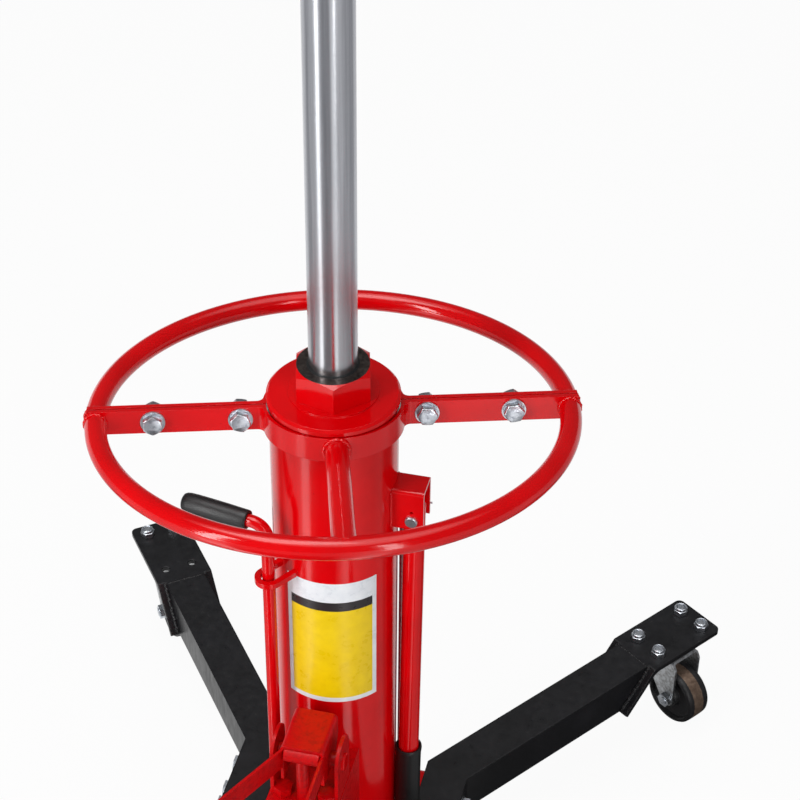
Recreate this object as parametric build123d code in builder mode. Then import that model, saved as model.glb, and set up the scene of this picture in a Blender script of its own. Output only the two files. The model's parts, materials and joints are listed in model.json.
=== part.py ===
from build123d import *
from math import cos, hypot, radians, sin, sqrt, tan
import os

# Transmission jack. Millimetres, +Z up, floor at z = 0, origin under the reservoir axis.
# The foot pedal points to -Y and the hand lever is on the +X side.

os.makedirs("parts", exist_ok=True)

# Driving sizes
reservoir_radius = 63.5
reservoir_wall = 4.0
ram_radius = 23.75
ring_radius = 230.0
ring_tube_radius = 10.65
ring_tube_wall = 2.6
beam_size = 50.0
beam_wall = 3.0
wheel_radius = 37.5
wheel_width = 32.0

# Clearances
running_clearance = 0.05
side_gap = 0.3
cut_margin = 2.0

# Heights of the base
beam_bottom = 68.0
beam_top = beam_bottom + beam_size
hub_plate_thickness = 10.0
hub_plate_top = beam_bottom + hub_plate_thickness
hub_cheek_thickness = 6.0
hub_corner_radius = 12.0
hub_front = -170.0
hub_rear = 80.0

# Plan of the side beams: a middle run along Y, mitred to two legs
hub_margin = 18.7
hub_half_width = reservoir_radius + hub_margin
beam_centre_x = hub_half_width + beam_size / 2
beam_fold_y = 80.6
leg_length = 360.0
leg_slope_x = 0.6
leg_slope_y = 0.8
caster_x = beam_centre_x + leg_slope_x * leg_length
caster_y = beam_fold_y + leg_slope_y * leg_length

# Leg end plates
end_plate_thickness = 6.0
end_plate_width = 71.0
end_plate_inner = 60.0
end_plate_outer = 54.0
end_plate_corner = 7.5
end_tab_run = 45.0
end_tab_bend = 15.0
caster_bolt_along = 74.0
caster_bolt_across = 35.0
caster_bolt_radius = 5.0
caster_nut_flats = 16.0
caster_nut_height = 10.0

# Horizontal bolts that hold the beams to the hub
beam_bolt_radius = 6.0
beam_bolt_flats = 18.0
beam_bolt_head = 7.5
beam_nut_height = 8.0
beam_bolt_overrun = 1.5
beam_bolt_z = 94.5
beam_bolt_ys = (-52.0, -12.0, 12.0, 52.0)

corners = {"front_left": (-1, -1), "front_right": (1, -1), "rear_left": (-1, 1), "rear_right": (1, 1)}


def save(part, name):
    part.label = name
    export_step(part, f"parts/{name}.step")


def hex_across(flats):
    # Corner radius of a hexagon from its size across the flats
    return flats / sqrt(3)


def leg_plane(side_x, side_y, height=0.0):
    # Frame at a caster centre: local x runs outward along the leg
    return Plane(
        origin=(side_x * caster_x, side_y * caster_y, height),
        x_dir=(side_x * leg_slope_x, side_y * leg_slope_y, 0),
        z_dir=(0, 0, 1),
    )


def mitred_outline(points, half_width):
    # Outline of a strip of constant width along a bent centre line
    left, right = [], []
    for index, point in enumerate(points):
        before = points[max(index - 1, 0)]
        after = points[min(index + 1, len(points) - 1)]
        ways = []
        for start, end in ((before, point), (point, after)):
            length = hypot(end[0] - start[0], end[1] - start[1])
            if length > 0:
                ways.append(((end[0] - start[0]) / length, (end[1] - start[1]) / length))
        way_in, way_out = ways[0], ways[-1]
        normal = (-way_in[1] - way_out[1], way_in[0] + way_out[0])
        scale = 2 * half_width / (normal[0] ** 2 + normal[1] ** 2)
        left.append((point[0] + normal[0] * scale, point[1] + normal[1] * scale))
        right.append((point[0] - normal[0] * scale, point[1] - normal[1] * scale))
    return left + right[::-1]


# Hub base: bottom plate between the beams with an upright cheek on each side
with BuildPart() as hub_base:
    with BuildSketch(Plane.XY.offset(beam_bottom)):
        with Locations((0, (hub_front + hub_rear) / 2)):
            Rectangle(2 * hub_half_width, hub_rear - hub_front)
    extrude(amount=hub_plate_thickness)
    with BuildSketch(Plane.XY.offset(hub_plate_top)):
        with Locations(
            (hub_half_width - hub_cheek_thickness / 2, (hub_front + hub_rear) / 2),
            (-hub_half_width + hub_cheek_thickness / 2, (hub_front + hub_rear) / 2),
        ):
            Rectangle(hub_cheek_thickness, hub_rear - hub_front)
    extrude(amount=beam_top - hub_plate_top)
    corner_edges = hub_base.edges().filter_by(Axis.X).group_by(Axis.Z)[-1]
    fillet(corner_edges, radius=hub_corner_radius)
    for bolt_y in beam_bolt_ys:
        with BuildSketch(Plane.YZ):
            with Locations((bolt_y, beam_bolt_z)):
                Circle(beam_bolt_radius + running_clearance)
        extrude(amount=hub_half_width, both=True, mode=Mode.SUBTRACT)
save(hub_base.part, "hub_base")

# Side beams: square tube, slant-cut ends closed by folded end plates
slant_length = hypot(end_tab_run, beam_size)
slant_out_x = beam_size / slant_length
slant_out_z = -end_tab_run / slant_length
end_profile = [
    (end_plate_outer, beam_top),
    (-end_plate_inner, beam_top),
    (-end_plate_inner - end_tab_run, beam_bottom),
    (
        -end_plate_inner - end_tab_run + slant_out_x * end_plate_thickness,
        beam_bottom + slant_out_z * end_plate_thickness,
    ),
    (
        -end_plate_inner
        + slant_out_x * end_plate_thickness
        - (end_plate_thickness * (1 + slant_out_z)) * end_tab_run / beam_size,
        beam_top - end_plate_thickness,
    ),
    (end_plate_outer, beam_top - end_plate_thickness),
]
for side_name, side_x in (("left", -1), ("right", 1)):
    centre_line = [
        (side_x * caster_x, -caster_y),
        (side_x * beam_centre_x, -beam_fold_y),
        (side_x * beam_centre_x, beam_fold_y),
        (side_x * caster_x, caster_y),
    ]
    with BuildPart() as side_beam:
        with BuildSketch(Plane.XY.offset(beam_bottom)):
            with BuildLine():
                Polyline(*mitred_outline(centre_line, beam_size / 2), close=True)
            make_face()
        extrude(amount=beam_size)
        with BuildSketch(Plane.XY.offset(beam_bottom + beam_wall)):
            with BuildLine():
                Polyline(*mitred_outline(centre_line, beam_size / 2 - beam_wall), close=True)
            make_face()
        extrude(amount=beam_size - 2 * beam_wall, mode=Mode.SUBTRACT)
        for side_y in (-1, 1):
            base_plane = leg_plane(side_x, side_y)
            upright = Plane(
                origin=base_plane.origin,
                x_dir=base_plane.x_dir,
                z_dir=(base_plane.x_dir.Y, -base_plane.x_dir.X, 0),
            )
            with BuildSketch(upright):
                with BuildLine():
                    Polyline(
                        (-end_plate_inner, beam_top),
                        (-end_plate_inner - end_tab_run, beam_bottom),
                        (end_plate_outer, beam_bottom),
                        (end_plate_outer, beam_top),
                        close=True,
                    )
                make_face()
            extrude(amount=beam_size, both=True, mode=Mode.SUBTRACT)
        for side_y in (-1, 1):
            base_plane = leg_plane(side_x, side_y)
            upright = Plane(
                origin=base_plane.origin,
                x_dir=base_plane.x_dir,
                z_dir=(base_plane.x_dir.Y, -base_plane.x_dir.X, 0),
            )
            with BuildSketch(upright) as end_side:
                with BuildLine():
                    Polyline(*end_profile, close=True)
                make_face()
                fillet(end_side.vertices().group_by(Axis.X)[-2], radius=end_tab_bend)
            extrude(amount=end_plate_width / 2, both=True)
            with BuildSketch(leg_plane(side_x, side_y, beam_top)):
                with GridLocations(caster_bolt_along, caster_bolt_across, 2, 2):
                    Circle(caster_bolt_radius + running_clearance)
            extrude(amount=-2 * end_plate_thickness, mode=Mode.SUBTRACT)
        upright_edges = side_beam.edges().filter_by(Axis.Z)
        tip_edges = [edge for edge in upright_edges if abs(edge.length - end_plate_thickness) < 0.01]
        fillet(tip_edges, radius=end_plate_corner)
        for bolt_y in beam_bolt_ys:
            with BuildSketch(Plane.YZ.offset(side_x * beam_centre_x)):
                with Locations((bolt_y, beam_bolt_z)):
                    Circle(beam_bolt_radius + running_clearance)
            extrude(amount=beam_size, both=True, mode=Mode.SUBTRACT)
    save(side_beam.part, f"side_beam_{side_name}")

# Bolts and nuts that hold the beams to the hub
beam_outer_x = beam_centre_x + beam_size / 2
cheek_inner_x = hub_half_width - hub_cheek_thickness
beam_bolt_end = cheek_inner_x - beam_nut_height - beam_bolt_overrun
with BuildPart() as beam_bolts:
    for side_x in (-1, 1):
        with BuildSketch(Plane.YZ.offset(side_x * beam_bolt_end)):
            with Locations(*[(bolt_y, beam_bolt_z) for bolt_y in beam_bolt_ys]):
                Circle(beam_bolt_radius)
        extrude(amount=side_x * (beam_outer_x - beam_bolt_end))
        with BuildSketch(Plane.YZ.offset(side_x * beam_outer_x)):
            with Locations(*[(bolt_y, beam_bolt_z) for bolt_y in beam_bolt_ys]):
                RegularPolygon(hex_across(beam_bolt_flats), 6)
        extrude(amount=side_x * beam_bolt_head)
save(beam_bolts.part, "beam_bolts")

with BuildPart() as beam_nuts:
    for side_x in (-1, 1):
        with BuildSketch(Plane.YZ.offset(side_x * (cheek_inner_x - beam_nut_height))):
            with Locations(*[(bolt_y, beam_bolt_z) for bolt_y in beam_bolt_ys]):
                RegularPolygon(hex_across(beam_bolt_flats), 6)
                Circle(beam_bolt_radius, mode=Mode.SUBTRACT)
        extrude(amount=side_x * beam_nut_height)
save(beam_nuts.part, "beam_nuts")

# Casters
caster_plate_thickness = 3.0
caster_plate_top = beam_top - end_plate_thickness
caster_plate_bottom = caster_plate_top - caster_plate_thickness
caster_plate_length = 98.0
caster_plate_width = 58.0
caster_plate_corner = 6.0
race_height = 8.0
race_bottom = caster_plate_bottom - race_height
race_top_radius = 27.0
race_bottom_radius = 22.0
kingpin_radius = 6.0
kingpin_head_radius = 9.0
kingpin_head_thickness = 3.0
fork_sheet = 3.0
fork_crown_top = race_bottom - side_gap
fork_crown_bottom = fork_crown_top - fork_sheet
fork_crown_radius = 27.0
fork_inner_half = 18.5
fork_outer_half = fork_inner_half + fork_sheet
fork_bend = 2.0
fork_rear = 24.0
fork_front = 29.0
fork_nose = 6.0
fork_shoulder = 11.0
fork_eye_radius = 10.0
fork_eye_side = 0.95 * fork_eye_radius
fork_eye_drop = 0.3 * fork_eye_radius
caster_trail = 25.0
axle_radius = 5.0
axle_flats = 16.0
axle_head = 6.0
axle_overrun = 1.0
wheel_hub_radius = 13.0
wheel_recess_radius = 31.0
wheel_recess_depth = 6.0
tread_shoulder_drop = 3.0
tread_shoulder_width = 5.0
caster_headings = {
    "front_left": (0.8, 0.6),
    "front_right": (-0.6, 0.8),
    "rear_left": (0.6, -0.8),
    "rear_right": (0.8, -0.6),
}
caster_bolt_head_height = 6.4
caster_bolt_overrun = -1.0

for corner, (side_x, side_y) in corners.items():
    with BuildPart() as caster_top_plate:
        with BuildSketch(leg_plane(side_x, side_y, caster_plate_bottom)):
            RectangleRounded(caster_plate_length, caster_plate_width, caster_plate_corner)
            with GridLocations(caster_bolt_along, caster_bolt_across, 2, 2):
                Circle(caster_bolt_radius + running_clearance, mode=Mode.SUBTRACT)
        extrude(amount=caster_plate_thickness)
        with BuildSketch(leg_plane(side_x, side_y, caster_plate_bottom)):
            Circle(race_top_radius)
        with BuildSketch(leg_plane(side_x, side_y, race_bottom)):
            Circle(race_bottom_radius)
        loft()
        with BuildSketch(leg_plane(side_x, side_y, race_bottom)):
            Circle(kingpin_radius)
        extrude(amount=-(race_bottom - fork_crown_bottom) - side_gap)
        with BuildSketch(leg_plane(side_x, side_y, fork_crown_bottom - side_gap)):
            Circle(kingpin_head_radius)
        extrude(amount=-kingpin_head_thickness)
    save(caster_top_plate.part, f"caster_top_plate_{corner}")

    heading = caster_headings[corner]
    swivel = (side_x * caster_x, side_y * caster_y)
    axle_point = (swivel[0] + heading[0] * caster_trail, swivel[1] + heading[1] * caster_trail)
    across = (-heading[1], heading[0])
    fork_side = Plane(
        origin=(swivel[0], swivel[1], 0), x_dir=(heading[0], heading[1], 0), z_dir=(heading[1], -heading[0], 0)
    )
    fork_end = Plane(
        origin=(swivel[0], swivel[1], 0), x_dir=(across[0], across[1], 0), z_dir=(heading[0], heading[1], 0)
    )
    with BuildPart() as caster_fork:
        with BuildSketch(fork_end) as fork_section:
            with Locations((0, fork_crown_top / 2)):
                Rectangle(2 * fork_outer_half, fork_crown_top)
            fillet(fork_section.vertices().group_by(Axis.Y)[-1], radius=fork_sheet + fork_bend)
        extrude(amount=2 * caster_trail, both=True)
        with BuildSketch(fork_end) as fork_hollow:
            with Locations((0, fork_crown_bottom / 2)):
                Rectangle(2 * fork_inner_half, fork_crown_bottom)
            fillet(fork_hollow.vertices().group_by(Axis.Y)[-1], radius=fork_bend)
        extrude(amount=2 * caster_trail, both=True, mode=Mode.SUBTRACT)
        with BuildSketch(fork_side):
            with BuildLine():
                Polyline(
                    (-fork_rear, fork_crown_top),
                    (-fork_rear, fork_crown_top - fork_shoulder),
                    (caster_trail - fork_eye_side, wheel_radius - fork_eye_drop),
                    (caster_trail, wheel_radius - fork_eye_radius),
                    (caster_trail + fork_eye_side, wheel_radius - fork_eye_drop),
                    (fork_front + fork_nose, fork_crown_top - fork_shoulder),
                    (fork_front, fork_crown_top),
                    close=True,
                )
            make_face()
            with Locations((caster_trail, wheel_radius)):
                Circle(fork_eye_radius)
        extrude(amount=fork_outer_half, both=True, mode=Mode.INTERSECT)
        with BuildSketch(Plane((swivel[0], swivel[1], fork_crown_bottom))):
            Circle(fork_crown_radius)
        extrude(amount=fork_sheet)
        with BuildSketch(Plane((swivel[0], swivel[1], fork_crown_bottom))):
            Circle(kingpin_radius + running_clearance)
        extrude(amount=fork_sheet, mode=Mode.SUBTRACT)
        with BuildSketch(fork_side):
            with Locations((caster_trail, wheel_radius)):
                Circle(axle_radius)
        extrude(amount=fork_outer_half, both=True, mode=Mode.SUBTRACT)
    save(caster_fork.part, f"caster_fork_{corner}")

    axle_side = Plane(
        origin=(axle_point[0], axle_point[1], wheel_radius),
        x_dir=(heading[0], heading[1], 0),
        z_dir=(heading[1], -heading[0], 0),
    )
    wheel_half = wheel_width / 2
    with BuildPart() as caster_wheel:
        with BuildSketch(Plane(origin=axle_side.origin, x_dir=axle_side.x_dir, z_dir=(0, 0, 1))):
            with BuildLine():
                Polyline(
                    (axle_radius + running_clearance, fork_inner_half - side_gap),
                    (wheel_hub_radius, fork_inner_half - side_gap),
                    (wheel_hub_radius, wheel_half - wheel_recess_depth),
                    (wheel_recess_radius, wheel_half - wheel_recess_depth),
                    (wheel_recess_radius, wheel_half),
                    (wheel_radius - tread_shoulder_drop, wheel_half),
                    (wheel_radius, wheel_half - tread_shoulder_width),
                    (wheel_radius, -wheel_half + tread_shoulder_width),
                    (wheel_radius - tread_shoulder_drop, -wheel_half),
                    (wheel_recess_radius, -wheel_half),
                    (wheel_recess_radius, -wheel_half + wheel_recess_depth),
                    (wheel_hub_radius, -wheel_half + wheel_recess_depth),
                    (wheel_hub_radius, -fork_inner_half + side_gap),
                    (axle_radius + running_clearance, -fork_inner_half + side_gap),
                    close=True,
                )
            make_face()
        revolve(axis=Axis(axle_side.origin, axle_side.z_dir))
    save(caster_wheel.part, f"caster_wheel_{corner}")

    with BuildPart() as caster_axle:
        with BuildSketch(axle_side):
            Circle(axle_radius)
        extrude(amount=fork_outer_half + axle_head + axle_overrun, both=True)
        with BuildSketch(axle_side.offset(fork_outer_half), axle_side.offset(-fork_outer_half - axle_head)):
            RegularPolygon(hex_across(axle_flats), 6)
        extrude(amount=axle_head)
    save(caster_axle.part, f"caster_axle_{corner}")

# Caster plate bolts: one pair is left out at the rear left leg, whose inner holes stay open
caster_bolt_spots = []
for corner, (side_x, side_y) in corners.items():
    for along in (-caster_bolt_along / 2, caster_bolt_along / 2):
        for over in (-caster_bolt_across / 2, caster_bolt_across / 2):
            if corner == "rear_left" and along < 0:
                continue
            caster_bolt_spots.append((side_x, side_y, along, over))

with BuildPart() as caster_plate_bolts:
    for side_x, side_y, along, over in caster_bolt_spots:
        with BuildSketch(leg_plane(side_x, side_y, caster_plate_bottom)):
            with Locations((along, over)):
                Circle(caster_bolt_radius)
        extrude(amount=beam_top + caster_nut_height + caster_bolt_overrun - caster_plate_bottom)
        with BuildSketch(leg_plane(side_x, side_y, caster_plate_bottom)):
            with Locations((along, over)):
                RegularPolygon(hex_across(caster_nut_flats), 6)
        extrude(amount=-caster_bolt_head_height)
save(caster_plate_bolts.part, "caster_plate_bolts")

with BuildPart() as caster_plate_nuts:
    for side_x, side_y, along, over in caster_bolt_spots:
        with BuildSketch(leg_plane(side_x, side_y, beam_top)):
            with Locations((along, over)):
                RegularPolygon(hex_across(caster_nut_flats), 6)
                Circle(caster_bolt_radius, mode=Mode.SUBTRACT)
        extrude(amount=caster_nut_height)
save(caster_plate_nuts.part, "caster_plate_nuts")

# Hydraulic column
reservoir_top = 699.5
foot_thickness = 14.0
cap_overhang = 1.9
cap_radius = reservoir_radius + cap_overhang
cap_thickness = 6.5
cap_spigot = 10.0
cap_bore_radius = 33.0
cap_chamfer = 2.5
flange_radius = 44.5
flange_height = 1.5
gland_flats = 70.8
gland_height = 31.0
gland_top = reservoir_top + cap_thickness + flange_height + gland_height
pressure_outer_radius = 32.0
pressure_bore_radius = 28.0
ram_extension = 450.0
ram_top = gland_top + ram_extension
ram_engagement = 142.0
ram_length = ram_extension + ram_engagement
ram_spigot_radius = 15.0
piston_length = 30.0

with BuildPart() as reservoir_tube:
    with BuildSketch(Plane.XY.offset(hub_plate_top)):
        Circle(reservoir_radius)
        Circle(reservoir_radius - reservoir_wall, mode=Mode.SUBTRACT)
    extrude(amount=reservoir_top - hub_plate_top)
save(reservoir_tube.part, "reservoir_tube")

with BuildPart() as reservoir_foot:
    with BuildSketch(Plane.XY.offset(hub_plate_top)):
        Circle(reservoir_radius - reservoir_wall)
    extrude(amount=foot_thickness)
    with BuildSketch(Plane.XY.offset(hub_plate_top + foot_thickness)):
        Circle(pressure_outer_radius)
    extrude(amount=-foot_thickness / 2, mode=Mode.SUBTRACT)
save(reservoir_foot.part, "reservoir_foot")

gland_skirt_bottom = reservoir_top - cap_spigot
with BuildPart() as pressure_tube:
    with BuildSketch(Plane.XY.offset(hub_plate_top + foot_thickness / 2)):
        Circle(pressure_outer_radius)
        Circle(pressure_bore_radius, mode=Mode.SUBTRACT)
    extrude(amount=gland_skirt_bottom - hub_plate_top - foot_thickness / 2)
save(pressure_tube.part, "pressure_tube")

with BuildPart() as cylinder_cap:
    with BuildSketch(Plane.XY.offset(reservoir_top)):
        Circle(cap_radius)
    extrude(amount=cap_thickness)
    chamfer(cylinder_cap.faces().sort_by(Axis.Z)[-1].edges(), length=cap_chamfer)
    with BuildSketch(Plane.XY.offset(reservoir_top + cap_thickness)):
        Circle(flange_radius)
    extrude(amount=flange_height)
    with BuildSketch(Plane.XY.offset(gland_skirt_bottom)):
        Circle(reservoir_radius - reservoir_wall)
    extrude(amount=cap_spigot)
    with BuildSketch(Plane.XY.offset(gland_skirt_bottom)):
        Circle(cap_bore_radius)
    extrude(amount=cap_spigot + cap_thickness + flange_height, mode=Mode.SUBTRACT)
save(cylinder_cap.part, "cylinder_cap")

gland_bottom = gland_top - gland_height
gland_corner = hex_across(gland_flats)
wiper_radius = 25.6
wiper_depth = 8.0
gland_outside = gland_corner + cut_margin
gland_outside_z = gland_top - (gland_outside - gland_flats / 2) * tan(radians(30))
with BuildPart() as gland_nut:
    with BuildSketch(Plane.XY.offset(gland_bottom)):
        RegularPolygon(gland_corner, 6, rotation=45)
    extrude(amount=gland_height)
    with BuildSketch(Plane.XZ):
        with BuildLine():
            Polyline(
                (0, gland_skirt_bottom),
                (gland_outside, gland_skirt_bottom),
                (gland_outside, gland_outside_z),
                (gland_flats / 2, gland_top),
                (0, gland_top),
                close=True,
            )
        make_face()
    revolve(axis=Axis.Z, mode=Mode.INTERSECT)
    with BuildSketch(Plane.XY.offset(gland_skirt_bottom)):
        Circle(cap_bore_radius)
    extrude(amount=gland_bottom - gland_skirt_bottom)
    with BuildSketch(Plane.XY.offset(gland_skirt_bottom)):
        Circle(ram_radius + running_clearance)
    extrude(amount=gland_top - gland_skirt_bottom, mode=Mode.SUBTRACT)
    with BuildSketch(Plane.XY.offset(gland_top)):
        Circle(wiper_radius)
    extrude(amount=-wiper_depth, mode=Mode.SUBTRACT)
save(gland_nut.part, "gland_nut")

with BuildPart() as wiper_seal:
    with BuildSketch(Plane.XY.offset(gland_top - wiper_depth)):
        Circle(wiper_radius)
        Circle(ram_radius + running_clearance, mode=Mode.SUBTRACT)
    extrude(amount=wiper_depth)
save(wiper_seal.part, "wiper_seal")

ram_chamfer = 1.5
saddle_pivot_radius = 15.0
saddle_pivot_height = 12.0
with BuildPart() as ram:
    with BuildSketch(Plane.XY.offset(ram_top - ram_length)):
        Circle(ram_radius)
    extrude(amount=ram_length)
    chamfer(ram.faces().sort_by(Axis.Z)[-1].edges(), length=ram_chamfer)
    with BuildSketch(Plane.XY.offset(ram_top - ram_length)):
        Circle(ram_spigot_radius)
    extrude(amount=-piston_length)
    with BuildSketch(Plane.XY.offset(ram_top)):
        Circle(saddle_pivot_radius)
    extrude(amount=saddle_pivot_height)
save(ram.part, "ram")

with BuildPart() as piston:
    with BuildSketch(Plane.XY.offset(ram_top - ram_length - piston_length)):
        Circle(pressure_bore_radius - running_clearance)
        Circle(ram_spigot_radius, mode=Mode.SUBTRACT)
    extrude(amount=piston_length)
save(piston.part, "piston")

# Saddle: a round plate with four horns that turns on the stub at the ram top
saddle_radius = 56.0
saddle_thickness = 17.0
saddle_chamfer = 1.5
horn_width = 24.0
horn_thickness = 12.0
horn_height = 26.0
horn_chamfer = 3.0
saddle_bottom = ram_top + side_gap
with BuildPart() as saddle:
    with BuildSketch(Plane.XY.offset(saddle_bottom)):
        Circle(saddle_radius)
    extrude(amount=saddle_thickness)
    chamfer(saddle.edges().filter_by(GeomType.CIRCLE), length=saddle_chamfer)
    with BuildSketch(Plane.XY.offset(saddle_bottom)):
        Circle(saddle_pivot_radius + running_clearance)
    extrude(amount=saddle_pivot_height, mode=Mode.SUBTRACT)
    with BuildSketch(Plane.XY.offset(saddle_bottom + saddle_thickness)):
        with PolarLocations(saddle_radius - horn_thickness, 4, start_angle=45):
            Rectangle(horn_thickness, horn_width)
    extrude(amount=horn_height)
    horn_tops = saddle.faces().sort_by(Axis.Z)[-4:]
    chamfer([edge for face in horn_tops for edge in face.edges()], length=horn_chamfer)
save(saddle.part, "saddle")

# Clamp ring: half rings, straps and spokes, clamped round the reservoir and tilted
ring_drop = 20.9
ring_height = reservoir_top - ring_drop
ring_turn = radians(17.4)
ring_tilt = radians(6.4)
collar_clearance = 1.9
collar_inner_radius = reservoir_radius + collar_clearance
collar_thickness = 3.5
strap_height = 25.0
strap_thickness = 5.0
strap_gap = 2.0
strap_bend = 7.0
strap_overrun = 8.0
strap_reach = ring_radius + strap_overrun
spoke_radius = 11.5
clamp_bolt_radius = 6.0
clamp_inner_offset = 21.6
clamp_outer_offset = 55.0
clamp_bolt_flats = 18.0
clamp_bolt_head = 7.5
clamp_nut_height = 9.0
clamp_bolt_overrun = 2.0
washer_radius = 12.0
washer_thickness = 2.0

ring_plane = Plane(
    origin=(0, 0, ring_height),
    x_dir=(cos(ring_turn), sin(ring_turn), 0),
    z_dir=(-sin(ring_turn) * sin(ring_tilt), cos(ring_turn) * sin(ring_tilt), cos(ring_tilt)),
)
ring_axis = Axis(ring_plane.origin, ring_plane.z_dir)
collar_outer_radius = collar_inner_radius + collar_thickness
clamp_inner = collar_outer_radius + clamp_inner_offset
clamp_outer = ring_radius - clamp_outer_offset
clamp_bolt_spots = (-clamp_outer, -clamp_inner, clamp_inner, clamp_outer)
strap_face = strap_gap / 2 + strap_thickness
ring_reach = ring_radius + ring_tube_radius + cut_margin
strap_width_plane = ring_plane.offset(-strap_height / 2)
bolt_plane = Plane(origin=ring_plane.origin, x_dir=ring_plane.x_dir, z_dir=-ring_plane.y_dir)

for half_name, half in (("front", -1), ("rear", 1)):
    with BuildPart() as strap:
        with BuildSketch(strap_width_plane) as strap_plan:
            Circle(collar_outer_radius)
            with Locations((0, half * (strap_face + strap_gap / 2) / 2)):
                Rectangle(2 * strap_reach, strap_thickness)
            strap_corners = [
                corner
                for corner in strap_plan.vertices()
                if abs(corner.X) < strap_reach - cut_margin and abs(corner.Y - half * strap_face) < side_gap
            ]
            fillet(strap_corners, radius=strap_bend)
            Circle(collar_inner_radius, mode=Mode.SUBTRACT)
            with Locations((0, half * (strap_gap / 2 - collar_outer_radius))):
                Rectangle(2 * strap_reach, 2 * collar_outer_radius, mode=Mode.SUBTRACT)
        extrude(amount=strap_height)
        with BuildSketch(bolt_plane):
            with Locations(*[(spot, 0) for spot in clamp_bolt_spots]):
                Circle(clamp_bolt_radius + running_clearance)
        extrude(amount=2 * strap_face, both=True, mode=Mode.SUBTRACT)
    save(strap.part, f"{half_name}_strap")

    spoke_plane = Plane(origin=ring_plane.origin, x_dir=ring_plane.x_dir, z_dir=half * ring_plane.y_dir)
    ring_profile_plane = Plane(origin=ring_plane.origin, x_dir=ring_plane.x_dir, z_dir=-ring_plane.y_dir)
    with BuildPart() as half_ring:
        with BuildSketch(ring_profile_plane):
            with Locations((ring_radius, 0)):
                Circle(ring_tube_radius)
        revolve(axis=ring_axis)
        with BuildSketch(spoke_plane):
            Circle(spoke_radius)
        extrude(amount=ring_radius)
        with BuildSketch(strap_width_plane.offset(-strap_height)):
            Circle(collar_outer_radius)
        extrude(amount=3 * strap_height, mode=Mode.SUBTRACT)
        with BuildSketch(ring_profile_plane):
            with Locations((ring_radius, 0)):
                Circle(ring_tube_radius - ring_tube_wall)
        revolve(axis=ring_axis, mode=Mode.SUBTRACT)
        with BuildSketch(strap_width_plane):
            with Locations((0, -half * (ring_reach - strap_face) / 2)):
                Rectangle(2 * ring_reach, ring_reach + strap_face)
        extrude(amount=strap_height, mode=Mode.SUBTRACT)
    save(half_ring.part, f"{half_name}_half_ring")

with BuildPart() as clamp_washers:
    for start in (strap_face, -strap_face - washer_thickness):
        with BuildSketch(bolt_plane.offset(start)):
            with Locations(*[(spot, 0) for spot in clamp_bolt_spots]):
                Circle(washer_radius)
                Circle(clamp_bolt_radius, mode=Mode.SUBTRACT)
        extrude(amount=washer_thickness)
save(clamp_washers.part, "clamp_washers")

clamp_face = strap_face + washer_thickness
with BuildPart() as clamp_bolts:
    with BuildSketch(bolt_plane.offset(-clamp_face - clamp_nut_height - clamp_bolt_overrun)):
        with Locations(*[(spot, 0) for spot in clamp_bolt_spots]):
            Circle(clamp_bolt_radius)
    extrude(amount=2 * clamp_face + clamp_nut_height + clamp_bolt_overrun)
    with BuildSketch(bolt_plane.offset(clamp_face)):
        with Locations(*[(spot, 0) for spot in clamp_bolt_spots]):
            RegularPolygon(hex_across(clamp_bolt_flats), 6)
    extrude(amount=clamp_bolt_head)
save(clamp_bolts.part, "clamp_bolts")

with BuildPart() as clamp_nuts:
    with BuildSketch(bolt_plane.offset(-clamp_face - clamp_nut_height)):
        with Locations(*[(spot, 0) for spot in clamp_bolt_spots]):
            RegularPolygon(hex_across(clamp_bolt_flats), 6)
            Circle(clamp_bolt_radius, mode=Mode.SUBTRACT)
    extrude(amount=clamp_nut_height)
save(clamp_nuts.part, "clamp_nuts")

# Hand lever bracket: an inverted U welded to the reservoir
bracket_overhang = 31.0
bracket_reach = reservoir_radius + bracket_overhang
bracket_half = 15.7
bracket_sheet = 3.1
bracket_drop = 73.0
bracket_height = 47.1
bracket_top = ring_height - bracket_drop
bracket_bottom = bracket_top - bracket_height
bracket_bend = 4.0
pin_inset = 12.3
pin_rise = 10.5
pin_x = bracket_reach - pin_inset
pin_z = bracket_bottom + pin_rise
pin_radius = 5.0
pin_head_radius = 6.4
pin_head_thickness = 3.0
sight_hole_radius = 1.6
sight_hole_rise = 11.0

bracket_middle = (bracket_top + bracket_bottom) / 2
with BuildPart() as lever_bracket:
    with BuildSketch(Plane.YZ.offset(reservoir_radius / 2)) as bracket_section:
        with Locations((0, bracket_middle)):
            Rectangle(2 * bracket_half, bracket_top - bracket_bottom)
        fillet(bracket_section.vertices().group_by(Axis.Y)[-1], radius=bracket_bend)
    extrude(amount=bracket_reach - reservoir_radius / 2)
    with BuildSketch(Plane.YZ.offset(reservoir_radius / 2)) as bracket_hollow:
        with Locations((0, bracket_middle - bracket_sheet)):
            Rectangle(2 * (bracket_half - bracket_sheet), bracket_top - bracket_bottom)
        fillet(bracket_hollow.vertices().group_by(Axis.Y)[-1], radius=bracket_bend - bracket_sheet)
    extrude(amount=bracket_reach, mode=Mode.SUBTRACT)
    with BuildSketch(Plane.XY.offset(bracket_bottom)):
        Circle(reservoir_radius)
    extrude(amount=bracket_top - bracket_bottom, mode=Mode.SUBTRACT)
    with BuildSketch(Plane.XZ):
        with Locations((pin_x, pin_z)):
            Circle(pin_radius + running_clearance)
    extrude(amount=2 * bracket_half, both=True, mode=Mode.SUBTRACT)
    with BuildSketch(Plane.XZ):
        with Locations((pin_x, pin_z + sight_hole_rise)):
            Circle(sight_hole_radius)
    extrude(amount=2 * bracket_half, mode=Mode.SUBTRACT)
save(lever_bracket.part, "lever_bracket")

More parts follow.
